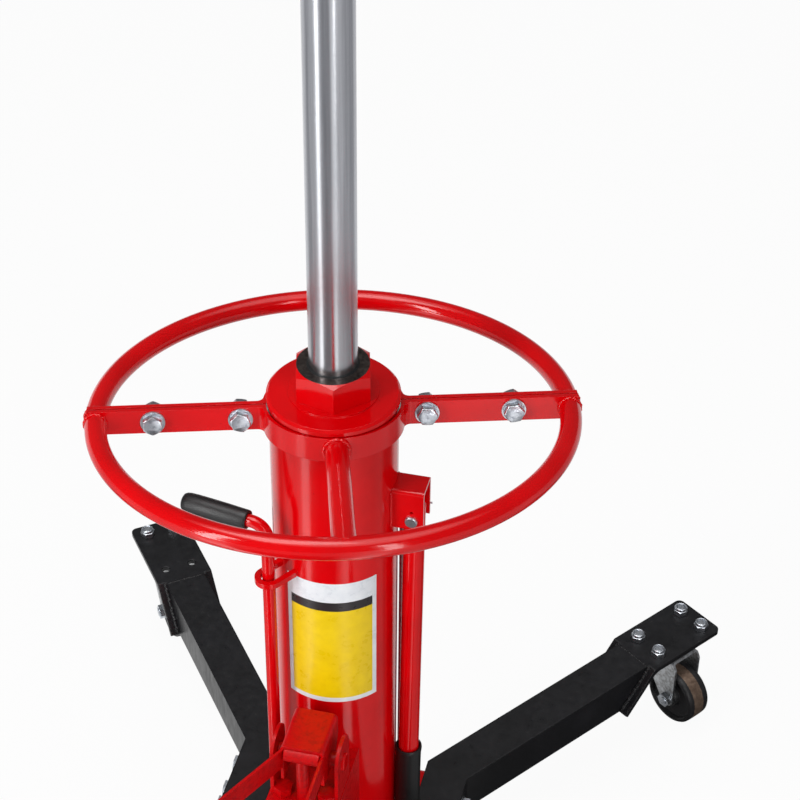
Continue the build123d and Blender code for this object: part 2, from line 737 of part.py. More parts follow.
# Hand lever, its grip, its pin and the crank on the pin
lever_radius = 11.0
lever_bore_radius = 8.6
lever_overrun = 12.0
lever_lean = radians(0.5)
lever_top_round = 3.0
grip_radius = 14.0
grip_rise = 7.0
grip_length = 111.0
grip_bottom = beam_top + grip_rise
grip_top = grip_bottom + grip_length
grip_floor = 5.0
grip_end_round = 4.0
grip_rim_round = 1.2
lever_bottom = grip_bottom + grip_floor
crank_gap = 3.8
crank_thickness = 3.5
crank_throw = 14.0
crank_end_radius = 6.0
crank_boss_radius = 8.0
crank_angle = radians(45)
crank_pin_radius = 3.0
yoke_gap = 0.5
yoke_thickness = 4.0

lever_plane = Plane(origin=(pin_x, 0, pin_z), x_dir=(0, 1, 0), z_dir=(sin(lever_lean), 0, cos(lever_lean)))
with BuildPart() as hand_lever:
    with BuildSketch(lever_plane.offset(lever_overrun)):
        Circle(lever_radius)
    extrude(amount=-(pin_z + lever_overrun - lever_bottom))
    fillet(hand_lever.faces().sort_by(Axis.Z)[-1].edges(), radius=lever_top_round)
    with BuildSketch(lever_plane.offset(-2 * lever_overrun)):
        Circle(lever_bore_radius)
    extrude(amount=-(pin_z - lever_bottom), mode=Mode.SUBTRACT)
    with BuildSketch(Plane.XZ):
        with Locations((pin_x, pin_z)):
            Circle(pin_radius)
    extrude(amount=2 * lever_radius, both=True, mode=Mode.SUBTRACT)
save(hand_lever.part, "hand_lever")

with BuildPart() as lever_grip:
    with BuildSketch(lever_plane.offset(grip_bottom - pin_z)):
        Circle(grip_radius)
    extrude(amount=grip_top - grip_bottom)
    fillet(lever_grip.edges().group_by(Axis.Z)[0], radius=grip_end_round)
    fillet(lever_grip.edges().group_by(Axis.Z)[-1], radius=grip_rim_round)
    with BuildSketch(lever_plane.offset(lever_bottom - pin_z)):
        Circle(lever_radius)
    extrude(amount=grip_top - grip_bottom, mode=Mode.SUBTRACT)
save(lever_grip.part, "lever_grip")

crank_front = bracket_half + crank_gap
crank_back = crank_front + crank_thickness
yoke_front = crank_back + yoke_gap
yoke_back = yoke_front + yoke_thickness
split_pin_radius = 1.0
split_pin_head = 3.0
split_pin_tail = 9.0
pin_head_chamfer = 1.0
split_pin_y = bracket_half + crank_gap / 2
with BuildPart() as lever_pin:
    with BuildSketch(Plane.XZ.offset(bracket_half)):
        with Locations((pin_x, pin_z)):
            Circle(pin_head_radius)
    extrude(amount=pin_head_thickness)
    chamfer(lever_pin.faces().sort_by(Axis.Y)[0].edges(), length=pin_head_chamfer)
    with BuildSketch(Plane.XZ.offset(bracket_half)):
        with Locations((pin_x, pin_z)):
            Circle(pin_radius)
    extrude(amount=-bracket_half - crank_back)
    with BuildSketch(Plane.YZ.offset(pin_x)):
        with Locations((split_pin_y, pin_z)):
            Circle(split_pin_radius)
    extrude(amount=2 * pin_radius, both=True, mode=Mode.SUBTRACT)
save(lever_pin.part, "lever_pin")

with BuildPart() as split_pin:
    with BuildSketch(Plane.YZ.offset(pin_x - pin_radius - split_pin_head)):
        with Locations((split_pin_y, pin_z)):
            Circle(split_pin_radius)
    extrude(amount=2 * pin_radius + split_pin_head + split_pin_tail)
save(split_pin.part, "split_pin")

with BuildPart() as lever_crank:
    crank_x = pin_x - crank_throw * sin(crank_angle)
    crank_z = pin_z + crank_throw * cos(crank_angle)
    with BuildSketch(Plane.XZ.offset(-crank_front)):
        with Locations(((pin_x + crank_x) / 2, (pin_z + crank_z) / 2)):
            SlotCenterToCenter(crank_throw, 2 * crank_end_radius, rotation=135)
        with Locations((pin_x, pin_z)):
            Circle(crank_boss_radius)
            Circle(pin_radius, mode=Mode.SUBTRACT)
    extrude(amount=-crank_thickness)
    with BuildSketch(Plane.XZ.offset(-crank_back)):
        with Locations((crank_x, crank_z)):
            Circle(crank_pin_radius)
    extrude(amount=-(yoke_back - crank_back))
save(lever_crank.part, "lever_crank")

# Hand pump: a slotted yoke on a rod that slides in a barrel on the reservoir flank
pump_rod_inset = 18.2
pump_rod_x = pin_x - pump_rod_inset
pump_rod_y = (yoke_front + yoke_back) / 2
pump_rod_radius = 3.25
yoke_overhang = 3.0
yoke_width = 18.0
yoke_left = pump_rod_x - yoke_overhang
yoke_right = yoke_left + yoke_width
yoke_half_height = 10.0
slot_clearance = 0.5
barrel_radius = 11.0
barrel_rise = 2.0
barrel_height = 80.0
barrel_bottom = beam_top + barrel_rise
barrel_top = barrel_bottom + barrel_height
barrel_floor = 2.0
pump_rod_stroke = 24.0
yoke_corner = 2.0
pump_rod_bottom = barrel_bottom + pump_rod_stroke
with BuildPart() as hand_pump_rod:
    with BuildSketch(Plane.XZ.offset(-yoke_front)):
        with Locations(((yoke_left + yoke_right) / 2, crank_z)):
            RectangleRounded(yoke_right - yoke_left, 2 * yoke_half_height, yoke_corner)
        slot_left = pin_x - crank_throw
        with Locations(((slot_left + crank_x) / 2, crank_z)):
            SlotCenterToCenter(crank_x - slot_left, 2 * (crank_pin_radius + slot_clearance), mode=Mode.SUBTRACT)
    extrude(amount=-yoke_thickness)
    with BuildSketch(Plane.XY.offset(pump_rod_bottom)):
        with Locations((pump_rod_x, pump_rod_y)):
            Circle(pump_rod_radius)
    extrude(amount=crank_z - yoke_half_height + yoke_gap - pump_rod_bottom)
save(hand_pump_rod.part, "hand_pump_rod")

with BuildPart() as hand_pump_barrel:
    with BuildSketch(Plane.XY.offset(barrel_bottom)):
        with Locations((pump_rod_x, pump_rod_y)):
            Circle(barrel_radius)
        Circle(reservoir_radius, mode=Mode.SUBTRACT)
    extrude(amount=barrel_top - barrel_bottom)
    with BuildSketch(Plane.XY.offset(barrel_top)):
        with Locations((pump_rod_x, pump_rod_y)):
            Circle(pump_rod_radius + running_clearance)
    extrude(amount=-(barrel_top - barrel_bottom - barrel_floor), mode=Mode.SUBTRACT)
save(hand_pump_barrel.part, "hand_pump_barrel")

# Release rod with its grip, its guide loop and the valve body at its foot
release_x = -49.4
release_y = -72.7
release_radius = 6.5
release_turn = radians(170)
release_bend = 16.0
release_drop = 94.6
release_level = ring_height - release_drop
release_reach = 92.0
release_grip_start = 20.0
release_grip_radius = 10.5
release_grip_floor = 3.0
release_grip_round = 4.0
valve_radius = 11.0
valve_top = 150.0
valve_chamfer = 1.5
spindle_radius = 5.0
spindle_depth = 30.0

rod_plane = Plane(
    origin=(release_x, release_y, 0),
    x_dir=(cos(release_turn), sin(release_turn), 0),
    z_dir=(sin(release_turn), -cos(release_turn), 0),
)
with BuildPart() as release_rod:
    with BuildLine(rod_plane):
        rod_path = FilletPolyline(
            (0, valve_top + side_gap),
            (0, release_level),
            (release_reach - release_grip_floor, release_level),
            radius=release_bend,
        )
    with BuildSketch(Plane.XY.offset(valve_top + side_gap)):
        with Locations((release_x, release_y)):
            Circle(release_radius)
    sweep(path=rod_path)
    with BuildSketch(Plane.XY.offset(valve_top + side_gap)):
        with Locations((release_x, release_y)):
            Circle(spindle_radius)
    extrude(amount=-spindle_depth)
save(release_rod.part, "release_rod")

grip_plane = Plane(
    origin=(release_x, release_y, release_level), x_dir=(0, 0, 1), z_dir=(cos(release_turn), sin(release_turn), 0)
)
with BuildPart() as release_grip:
    with BuildSketch(grip_plane.offset(release_grip_start)):
        Circle(release_grip_radius)
    extrude(amount=release_reach - release_grip_start)
    fillet(release_grip.faces().sort_by(Axis.X)[0].edges(), radius=release_grip_round)
    with BuildSketch(grip_plane.offset(release_grip_start)):
        Circle(release_radius)
    extrude(amount=release_reach - release_grip_start - release_grip_floor, mode=Mode.SUBTRACT)
save(release_grip.part, "release_grip")

with BuildPart() as release_valve:
    with BuildSketch(Plane.XY.offset(hub_plate_top)):
        with Locations((release_x, release_y)):
            Circle(valve_radius)
    extrude(amount=valve_top - hub_plate_top)
    chamfer(release_valve.faces().sort_by(Axis.Z)[-1].edges(), length=valve_chamfer)
    with BuildSketch(Plane.XY.offset(valve_top)):
        with Locations((release_x, release_y)):
            Circle(spindle_radius + running_clearance)
    extrude(amount=-spindle_depth - cut_margin, mode=Mode.SUBTRACT)
save(release_valve.part, "release_valve")

guide_bar = 6.0
guide_inner_radius = 8.2
guide_outer_radius = guide_inner_radius + guide_bar
guide_drop = 66.0
guide_top = release_level - guide_drop
guide_offset = hypot(release_x, release_y)
guide_plane = Plane(origin=(0, 0, guide_top - guide_bar), x_dir=(release_x, release_y, 0), z_dir=(0, 0, 1))
with BuildPart() as rod_guide:
    with BuildSketch(guide_plane):
        with Locations((guide_offset / 2, 0)):
            SlotCenterToCenter(guide_offset, 2 * guide_outer_radius)
            SlotCenterToCenter(guide_offset, 2 * guide_inner_radius, mode=Mode.SUBTRACT)
        Circle(reservoir_radius, mode=Mode.SUBTRACT)
        with Locations((-guide_outer_radius, 0)):
            Rectangle(2 * guide_outer_radius, 2 * guide_outer_radius, mode=Mode.SUBTRACT)
    extrude(amount=guide_bar)
save(rod_guide.part, "rod_guide")

# Foot pump
block_half = 37.0
block_front = -165.0
block_top = 273.0
ear_inner = 32.6
ear_thickness = 3.7
ear_front = -135.0
ear_rear = -90.0
ear_top = 343.0
ear_round = 20.0
block_round = 10.0
pivot_y = -112.8
pivot_z = 315.0
pivot_radius = 6.0
pivot_head_radius = 9.5
pivot_head_thickness = 3.0
pivot_head_chamfer = 0.8
plunger_y = -138.0
plunger_radius = 7.0
plunger_bore_depth = 70.0
plunger_depth = 55.0
crossbar_radius = 8.0
crossbar_half = 19.0
crossbar_z = 339.3
crossbar_chamfer = 1.0
pump_gland_radius = 13.0
pump_gland_height = 4.0
pump_bolt_x = 23.4
pump_bolt_y = -130.4
pump_bolt_flats = 18.0
pump_bolt_head = 10.0
pump_bolt_radius = 6.0
pump_bolt_depth = 25.0

with BuildPart() as pump_block:
    with BuildSketch(Plane.XY.offset(hub_plate_top)):
        with Locations((0, (block_front - reservoir_radius / 2) / 2)):
            Rectangle(2 * block_half, -block_front - reservoir_radius / 2)
    extrude(amount=block_top - hub_plate_top)
    fillet(pump_block.edges().filter_by(Axis.Z).group_by(Axis.Y)[0], radius=block_round)
    with BuildSketch(Plane.XY.offset(hub_plate_top)):
        Circle(reservoir_radius)
    extrude(amount=block_top - hub_plate_top, mode=Mode.SUBTRACT)
    for ear_side in (-1, 1):
        with BuildSketch(Plane.YZ.offset(ear_side * (ear_inner + ear_thickness / 2))) as ear_outline:
            with Locations(((ear_front + ear_rear) / 2, (block_top + ear_top) / 2)):
                Rectangle(ear_rear - ear_front, ear_top - block_top)
            fillet(ear_outline.vertices().group_by(Axis.Y)[-1], radius=ear_round)
        extrude(amount=ear_thickness / 2, both=True)
    with BuildSketch(Plane.YZ):
        with Locations((pivot_y, pivot_z)):
            Circle(pivot_radius)
    extrude(amount=block_half, both=True, mode=Mode.SUBTRACT)
    with BuildSketch(Plane.XY.offset(block_top)):
        with Locations((0, plunger_y)):
            Circle(plunger_radius + running_clearance)
    extrude(amount=-plunger_bore_depth, mode=Mode.SUBTRACT)
    with BuildSketch(Plane.XY.offset(block_top)):
        with Locations((-pump_bolt_x, pump_bolt_y), (pump_bolt_x, pump_bolt_y)):
            Circle(pump_bolt_radius)
    extrude(amount=-pump_bolt_depth, mode=Mode.SUBTRACT)
save(pump_block.part, "pump_block")

with BuildPart() as pump_gland:
    with BuildSketch(Plane.XY.offset(block_top)):
        with Locations((0, plunger_y)):
            Circle(pump_gland_radius)
            Circle(plunger_radius + running_clearance, mode=Mode.SUBTRACT)
    extrude(amount=pump_gland_height)
save(pump_gland.part, "pump_gland")

with BuildPart() as pump_block_bolts:
    with BuildSketch(Plane.XY.offset(block_top - pump_bolt_depth)):
        with Locations((-pump_bolt_x, pump_bolt_y), (pump_bolt_x, pump_bolt_y)):
            Circle(pump_bolt_radius)
    extrude(amount=pump_bolt_depth)
    with BuildSketch(Plane.XY.offset(block_top)):
        with Locations((-pump_bolt_x, pump_bolt_y), (pump_bolt_x, pump_bolt_y)):
            RegularPolygon(hex_across(pump_bolt_flats), 6, rotation=30)
    extrude(amount=pump_bolt_head)
save(pump_block_bolts.part, "pump_block_bolts")

with BuildPart() as pump_plunger:
    with BuildSketch(Plane.XY.offset(block_top - plunger_depth)):
        with Locations((0, plunger_y)):
            Circle(plunger_radius)
    extrude(amount=crossbar_z - block_top + plunger_depth)
    with BuildSketch(Plane.YZ):
        with Locations((plunger_y, crossbar_z)):
            Circle(crossbar_radius)
    extrude(amount=crossbar_half, both=True, mode=Mode.SUBTRACT)
save(pump_plunger.part, "pump_plunger")

with BuildPart() as plunger_crossbar:
    with BuildSketch(Plane.YZ):
        with Locations((plunger_y, crossbar_z)):
            Circle(crossbar_radius)
    extrude(amount=crossbar_half, both=True)
    chamfer(plunger_crossbar.edges().filter_by(GeomType.CIRCLE), length=crossbar_chamfer)
save(plunger_crossbar.part, "plunger_crossbar")

# Foot pedal: a folded channel with two arms that carry the foot plate
pedal_top = 351.0
pedal_sheet = 3.2
pedal_half = 23.0
pedal_rear = -83.0
pedal_front = -140.0
pedal_wall_bottom = 303.0
pedal_bend = 6.0
arm_height = 31.0
arm_spread = radians(27)
arm_left_length = 100.0
arm_right_length = 92.0
foot_plate_rear = -229.0
foot_plate_front = -290.0
foot_plate_left = -90.0
foot_plate_right = 42.0
foot_plate_thickness = 4.0
pad_thickness = 5.0
pad_inset = 5.0
pad_rear_inset = 2.0
pad_corner = 4.0
foot_plate_corner = 6.0
wall_trim_height = 22.0
wall_trim_run = 14.0
arm_root = 1.0
boss_radius = 9.0
foot_plate_z = pedal_top - arm_height
with BuildPart() as foot_pedal:
    with BuildSketch(Plane.XZ.offset(-pedal_rear)) as pedal_section:
        with Locations((0, (pedal_top + pedal_wall_bottom) / 2)):
            Rectangle(2 * pedal_half, pedal_top - pedal_wall_bottom)
        fillet(pedal_section.vertices().group_by(Axis.Y)[-1], radius=pedal_bend)
    extrude(amount=pedal_rear - pedal_front)
    with BuildSketch(Plane.XZ.offset(-pedal_rear)) as pedal_hollow:
        with Locations((0, (pedal_top + pedal_wall_bottom) / 2 - pedal_sheet)):
            Rectangle(2 * (pedal_half - pedal_sheet), pedal_top - pedal_wall_bottom)
        fillet(pedal_hollow.vertices().group_by(Axis.Y)[-1], radius=pedal_bend - pedal_sheet)
    extrude(amount=pedal_rear - pedal_front, mode=Mode.SUBTRACT)
    with BuildSketch(Plane.YZ.offset(-pedal_half)) as wall_trim:
        with BuildLine():
            Polyline(
                (pedal_rear, pedal_wall_bottom),
                (pedal_rear, pedal_wall_bottom + wall_trim_height),
                (pedal_rear - wall_trim_run, pedal_wall_bottom),
                close=True,
            )
        make_face()
    extrude(amount=2 * pedal_half, mode=Mode.SUBTRACT)
    left_turn = (-sin(arm_spread), -cos(arm_spread))
    left_start = (-pedal_half + pedal_sheet / 2, pedal_front + arm_root)
    left_end = (left_start[0] + left_turn[0] * arm_left_length, left_start[1] + left_turn[1] * arm_left_length)
    right_start = (pedal_half - pedal_sheet / 2, pedal_front + arm_root)
    right_end = (right_start[0], right_start[1] - arm_right_length)
    for arm_points in ((left_start, left_end), (right_start, right_end)):
        with BuildSketch(Plane.XY.offset(foot_plate_z)):
            with BuildLine():
                Polyline(*mitred_outline(list(arm_points), pedal_sheet / 2), close=True)
            make_face()
        extrude(amount=arm_height - pedal_bend)
    with BuildSketch(Plane.XY.offset(foot_plate_z)) as foot_plate:
        with Locations(
            ((foot_plate_left + foot_plate_right) / 2, (foot_plate_front + foot_plate_rear) / 2)
        ):
            RectangleRounded(
                foot_plate_right - foot_plate_left,
                foot_plate_rear - foot_plate_front,
                foot_plate_corner,
            )
    extrude(amount=foot_plate_thickness)
    for boss_side in (-1, 1):
        with BuildSketch(Plane.YZ.offset(boss_side * (pedal_half - pedal_sheet))):
            with Locations((pivot_y, pivot_z)):
                Circle(boss_radius)
        extrude(amount=boss_side * (ear_inner - side_gap - pedal_half + pedal_sheet))
    with BuildSketch(Plane.YZ):
        with Locations((pivot_y, pivot_z)):
            Circle(pivot_radius + running_clearance)
    extrude(amount=block_half, both=True, mode=Mode.SUBTRACT)
save(foot_pedal.part, "foot_pedal")

with BuildPart() as pedal_pad:
    with BuildSketch(Plane.XY.offset(foot_plate_z + foot_plate_thickness)):
        with Locations(
            ((foot_plate_left + foot_plate_right) / 2, (foot_plate_front + foot_plate_rear - pad_inset) / 2),
        ):
            RectangleRounded(
                foot_plate_right - foot_plate_left - 2 * pad_inset,
                foot_plate_rear - foot_plate_front - pad_inset - pad_rear_inset,
                pad_corner,
            )
    extrude(amount=pad_thickness)
save(pedal_pad.part, "pedal_pad")

with BuildPart() as pedal_pin:
    with BuildSketch(Plane.YZ):
        with Locations((pivot_y, pivot_z)):
            Circle(pivot_radius)
    extrude(amount=ear_inner + ear_thickness, both=True)
    for head_side in (-1, 1):
        with BuildSketch(Plane.YZ.offset(head_side * (ear_inner + ear_thickness))):
            with Locations((pivot_y, pivot_z)):
                Circle(pivot_head_radius)
        extrude(amount=head_side * pivot_head_thickness)
    chamfer(pedal_pin.edges().filter_by(GeomType.CIRCLE).group_by(Axis.X)[-1], length=pivot_head_chamfer)
    chamfer(pedal_pin.edges().filter_by(GeomType.CIRCLE).group_by(Axis.X)[0], length=pivot_head_chamfer)
save(pedal_pin.part, "pedal_pin")
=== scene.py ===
# %% [markdown]
# A transmission jack stands in a plain pale studio. The CAD model gives every solid in metres,
# in one shared frame. This lesson first loads it and sets the camera, then gives each solid the
# finish of the real metal or rubber, and then adds the small forms that a maker's workshop leaves
# behind: chamfered bolts, lock nuts, weld beads, soft grips, worn wheels and a vinyl label. The
# studio and its light come last.

import json
from math import cos, hypot, pi, radians, sin, sqrt

import bpy
from mathutils import Matrix, Vector


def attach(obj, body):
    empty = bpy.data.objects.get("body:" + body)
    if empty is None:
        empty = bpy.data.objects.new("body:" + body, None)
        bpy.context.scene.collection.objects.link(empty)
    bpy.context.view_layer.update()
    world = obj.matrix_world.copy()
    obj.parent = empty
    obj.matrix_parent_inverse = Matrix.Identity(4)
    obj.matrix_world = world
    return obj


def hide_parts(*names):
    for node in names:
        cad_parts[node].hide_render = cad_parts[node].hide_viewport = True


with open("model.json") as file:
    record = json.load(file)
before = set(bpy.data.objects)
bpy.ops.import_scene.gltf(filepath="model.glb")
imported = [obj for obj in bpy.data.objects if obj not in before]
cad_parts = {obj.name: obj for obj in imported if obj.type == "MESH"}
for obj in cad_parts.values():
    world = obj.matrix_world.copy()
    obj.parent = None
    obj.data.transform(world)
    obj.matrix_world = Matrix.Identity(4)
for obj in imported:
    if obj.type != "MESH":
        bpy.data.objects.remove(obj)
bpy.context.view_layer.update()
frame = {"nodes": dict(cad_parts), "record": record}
MM = 0.001
bpy.context.scene.view_settings.view_transform = "Standard"
print("nodes loaded:", len(frame["nodes"]))

# %% [markdown]
# The camera stands a little right of the pedal and looks down at the hand ring. Its place and
# lens were worked out from the picture, so the frame shows the ring, the column and the rear legs.
# A camera looks along its own -Z. Its matrix is built here from the look, side and up directions,
# because a tracking constraint would leave the roll to chance.

# %% Camera
camera_data = bpy.data.cameras.new("studio_camera")
camera_data.lens = 97.77
camera_data.sensor_width = 36.0
camera_data.clip_end = 50.0
camera = bpy.data.objects.new("studio_camera", camera_data)
bpy.context.scene.collection.objects.link(camera)
camera_spot = Vector((0.4438, -1.6070, 1.9744))
look = Vector((-0.1815, 0.7719, -0.6092)).normalized()
upward = Vector((-0.1489, 0.5908, 0.7930))
sideways = look.cross(upward).normalized()
upward = sideways.cross(look)
turn = Matrix((sideways, upward, -look)).transposed().to_4x4()
camera.matrix_world = Matrix.Translation(camera_spot) @ turn
bpy.context.scene.camera = camera
print("camera at", [round(v, 3) for v in camera.location])

# %% [markdown]
# One helper turns a paint chip's hex value into the linear colour that Blender wants, and one
# adds a node with its settings and its links. The shader editor would do as well, but in a
# script one node per line keeps a recipe short enough to read. Patterns are placed by object
# coordinates, so they need no unwrapping and keep their true size in millimetres.

# %% Colour and node helpers
def colour(chip):
    """Linear colour with alpha from an sRGB hex value."""
    channels = [int(chip[i:i + 2], 16) / 255 for i in (1, 3, 5)]
    linear = [c / 12.92 if c <= 0.04045 else ((c + 0.055) / 1.055) ** 2.4 for c in channels]
    return (*linear, 1.0)


def node(material, kind, settings=None, links=None):
    """Add a node; links maps an input name or number to an output socket or a plain value."""
    made = material.node_tree.nodes.new("ShaderNode" + kind)
    for name, value in (settings or {}).items():
        setattr(made, name, value)
    for key, value in (links or {}).items():
        if isinstance(value, bpy.types.NodeSocket):
            material.node_tree.links.new(value, made.inputs[key])
        else:
            made.inputs[key].default_value = value
    return made


def new_material(name):
    """An empty node material with its output and Principled shader."""
    material = bpy.data.materials.new(name)
    material.use_nodes = True
    shader = material.node_tree.nodes["Principled BSDF"]
    return material, shader


def ramp(material, value, stops):
    """A colour ramp over a value; stops are pairs of place and hex colour."""
    made = node(material, "ValToRGB", links={0: value})
    elements = made.color_ramp.elements
    elements[0].position, elements[1].position = stops[0][0], stops[-1][0]
    for at, chip in stops[1:-1]:
        elements.new(at)
    for element, (at, chip) in zip(elements, stops):
        element.color = colour(chip)
    return made.outputs[0]


def tie(material, output, shader, socket):
    material.node_tree.links.new(output, shader.inputs[socket])


def place(material):
    return node(material, "TexCoord").outputs["Object"]


def noise(material, size_mm, detail=4.0, roughness=0.55, vector=None):
    """Noise whose lumps are about size_mm across."""
    vector = vector or place(material)
    settings = {"Vector": vector, "Scale": 1 / (size_mm * MM), "Detail": detail, "Roughness": roughness}
    return node(material, "TexNoise", links=settings).outputs[0]


def bump(material, shader, height, depth_mm, strength=1.0, edge_mm=0.6):
    """Rounded edges first, then fine relief on top of them."""
    edge = node(material, "Bevel", {"samples": 4}, {"Radius": edge_mm * MM})
    links = {"Height": height, "Distance": depth_mm * MM, "Strength": strength, "Normal": edge.outputs[0]}
    made = node(material, "Bump", links=links)
    tie(material, made.outputs[0], shader, "Normal")


def spread(material, value, low, high, to_low, to_high):
    made = node(material, "MapRange", links={0: value, 1: low, 2: high, 3: to_low, 4: to_high})
    return made.outputs[0]


print("black is", colour("#000000"), "and white is", colour("#FFFFFF"))

# %% [markdown]
# The red is a thick gloss enamel sprayed over steel. It lies a touch uneven, like orange peel,
# carries a clear wet shine, and gathers faint grime. Large soft noise shifts the red a little,
# fine noise gives the peel, and rare specks show where dust settled in the wet paint. A Bevel
# node rounds the edges in the shading alone, so the CAD mesh stays as it is.

# %% Red enamel
def make_red_enamel():
    material, shader = new_material("red_gloss_enamel")
    cloud = noise(material, 90, 3)
    speck = noise(material, 2.2, 2, 0.7)
    base = ramp(material, cloud, [(0.3, "#C80005"), (0.55, "#D80007"), (0.8, "#E00109")])
    dark = ramp(material, speck, [(0.0, "#6E0206"), (0.26, "#6E0206"), (0.31, "#FFFFFF"), (1.0, "#FFFFFF")])
    multiply = {"data_type": "RGBA", "blend_type": "MULTIPLY"}
    mixed = node(material, "Mix", multiply, {0: 0.55, 6: base, 7: dark})
    tie(material, mixed.outputs[2], shader, "Base Color")
    rough = spread(material, noise(material, 35, 5), 0.3, 0.7, 0.08, 0.17)
    tie(material, rough, shader, "Roughness")
    shader.inputs["Coat Weight"].default_value = 0.12
    shader.inputs["Coat Roughness"].default_value = 0.06
    shader.inputs["IOR"].default_value = 1.43
    peel = noise(material, 3.2, 2, 0.45)
    bump(material, shader, peel, 0.07, 0.7)
    return material


red_enamel = make_red_enamel()
print("made", red_enamel.name)

# %% [markdown]
# The legs wear a satin black powder coat. It is matt in the small and soft in the large, with
# dull scuffs that catch the light and a little grey dust on it. The scuffs are noise that is
# stretched along the height and shows only above a threshold: that gives rare streaks, where
# plain noise would give an even haze.

# %% Black powder coat
def make_black_coat():
    material, shader = new_material("black_satin_powder_coat")
    cloud = noise(material, 60, 4)
    scuff_place = node(material, "Mapping", links={0: place(material), 3: (1.0, 1.0, 0.25)}).outputs[0]
    scuff = noise(material, 9, 6, 0.75, scuff_place)
    base = ramp(material, cloud, [(0.3, "#121214"), (0.6, "#19191C"), (0.85, "#222226")])
    pale = ramp(material, scuff, [(0.0, "#000000"), (0.64, "#000000"), (0.74, "#4A4744"), (1.0, "#5C5753")])
    mixed = node(material, "Mix", {"data_type": "RGBA", "blend_type": "ADD"}, {0: 0.5, 6: base, 7: pale})
    tie(material, mixed.outputs[2], shader, "Base Color")
    tie(material, spread(material, scuff, 0.3, 0.8, 0.26, 0.5), shader, "Roughness")
    shader.inputs["Specular IOR Level"].default_value = 0.42
    grain = noise(material, 1.1, 2, 0.5)
    bump(material, shader, grain, 0.05, 0.55, 2.4)
    return material


black_coat = make_black_coat()
print("made", black_coat.name)

# %% [markdown]
# Bolts, nuts, washers, forks and the pump rod are zinc plated: a cool pale metal with a mottled
# bloom where the plating dried. The sheet of the forks and their plates is duller and warmer.
# One function makes both, since only two colours and the roughness differ.

# %% Zinc plate
def make_zinc(name, light, dark, roughness):
    material, shader = new_material(name)
    bloom = noise(material, 5, 5, 0.65)
    mottle = ramp(material, bloom, [(0.32, dark), (0.5, light), (0.75, "#E8EBEF")])
    tie(material, mottle, shader, "Base Color")
    shader.inputs["Metallic"].default_value = 1.0
    tie(material, spread(material, bloom, 0.3, 0.7, roughness + 0.12, roughness), shader, "Roughness")
    bump(material, shader, noise(material, 1.3, 3), 0.04, 0.35, 0.25)
    return material


zinc_plate = make_zinc("zinc_plated_steel", "#D2D7DE", "#A2A8B1", 0.28)
fork_zinc = make_zinc("dull_zinc_sheet", "#C4C6C8", "#93918F", 0.40)
print("made", zinc_plate.name, fork_zinc.name)

# %% [markdown]
# The ram is hard chrome, ground and polished. Grinding leaves fine rings round it, too fine to
# see one by one, so they are drawn about a millimetre apart to show as a soft silk. The shader's
# anisotropy follows them and draws the highlights out along the ram.

# %% Polished ram
def make_ram_chrome():
    material, shader = new_material("ground_hard_chrome")
    rings = node(material, "Mapping", links={0: place(material), 3: (1.0, 1.0, 60.0)}).outputs[0]
    silk = noise(material, 60, 3, 0.6, rings)
    streak = node(material, "Mapping", links={0: place(material), 3: (1.0, 1.0, 0.03)}).outputs[0]
    wipe = noise(material, 7, 3, 0.6, streak)
    wiped = ramp(material, wipe, [(0.3, "#B4B6BA"), (0.55, "#C6C8CC"), (0.8, "#D6D8DC")])
    tie(material, wiped, shader, "Base Color")
    shader.inputs["Metallic"].default_value = 1.0
    tie(material, spread(material, silk, 0.3, 0.7, 0.20, 0.27), shader, "Roughness")
    shader.inputs["Anisotropic"].default_value = 0.7
    shader.inputs["Anisotropic Rotation"].default_value = 0.25
    around = node(material, "Tangent", {"direction_type": "RADIAL", "axis": "Z"})
    tie(material, around.outputs[0], shader, "Tangent")
    bump(material, shader, silk, 0.006, 0.15, 0.8)
    return material


ram_chrome = make_ram_chrome()
print("made", ram_chrome.name)

# %% [markdown]
# The steel inside the column is turned and oiled: dark, brownish and ringed by the lathe tool. A
# wave texture gives the tool marks as bump, since they catch the light but hardly change colour.

# %% Oiled turned steel
def make_turned_steel():
    material, shader = new_material("oiled_turned_steel")
    lathe = node(material, "TexWave", {"wave_type": "RINGS", "rings_direction": "Z", "wave_profile": "SAW"},
                 {"Vector": place(material), "Scale": 55.0, "Distortion": 0.4, "Detail": 1.0})
    stain = noise(material, 9, 5, 0.6)
    oiled = ramp(material, stain, [(0.3, "#3A332E"), (0.55, "#5A514A"), (0.8, "#7B736B")])
    tie(material, oiled, shader, "Base Color")
    shader.inputs["Metallic"].default_value = 1.0
    tie(material, spread(material, stain, 0.3, 0.7, 0.30, 0.45), shader, "Roughness")
    bump(material, shader, lathe.outputs[1], 0.05, 0.5, 0.4)
    return material


turned_steel = make_turned_steel()
print("made", turned_steel.name)

# %% [markdown]
# The gland nut was painted with its column, but its top face was turned bare afterwards. The
# face normal tells the two apart: where it points straight up, the paint gives way to dark oily
# steel with the fine rings of a lathe tool. A height test keeps lower ledges red. A second
# material slot would do too, but it would mean picking faces of the CAD mesh.

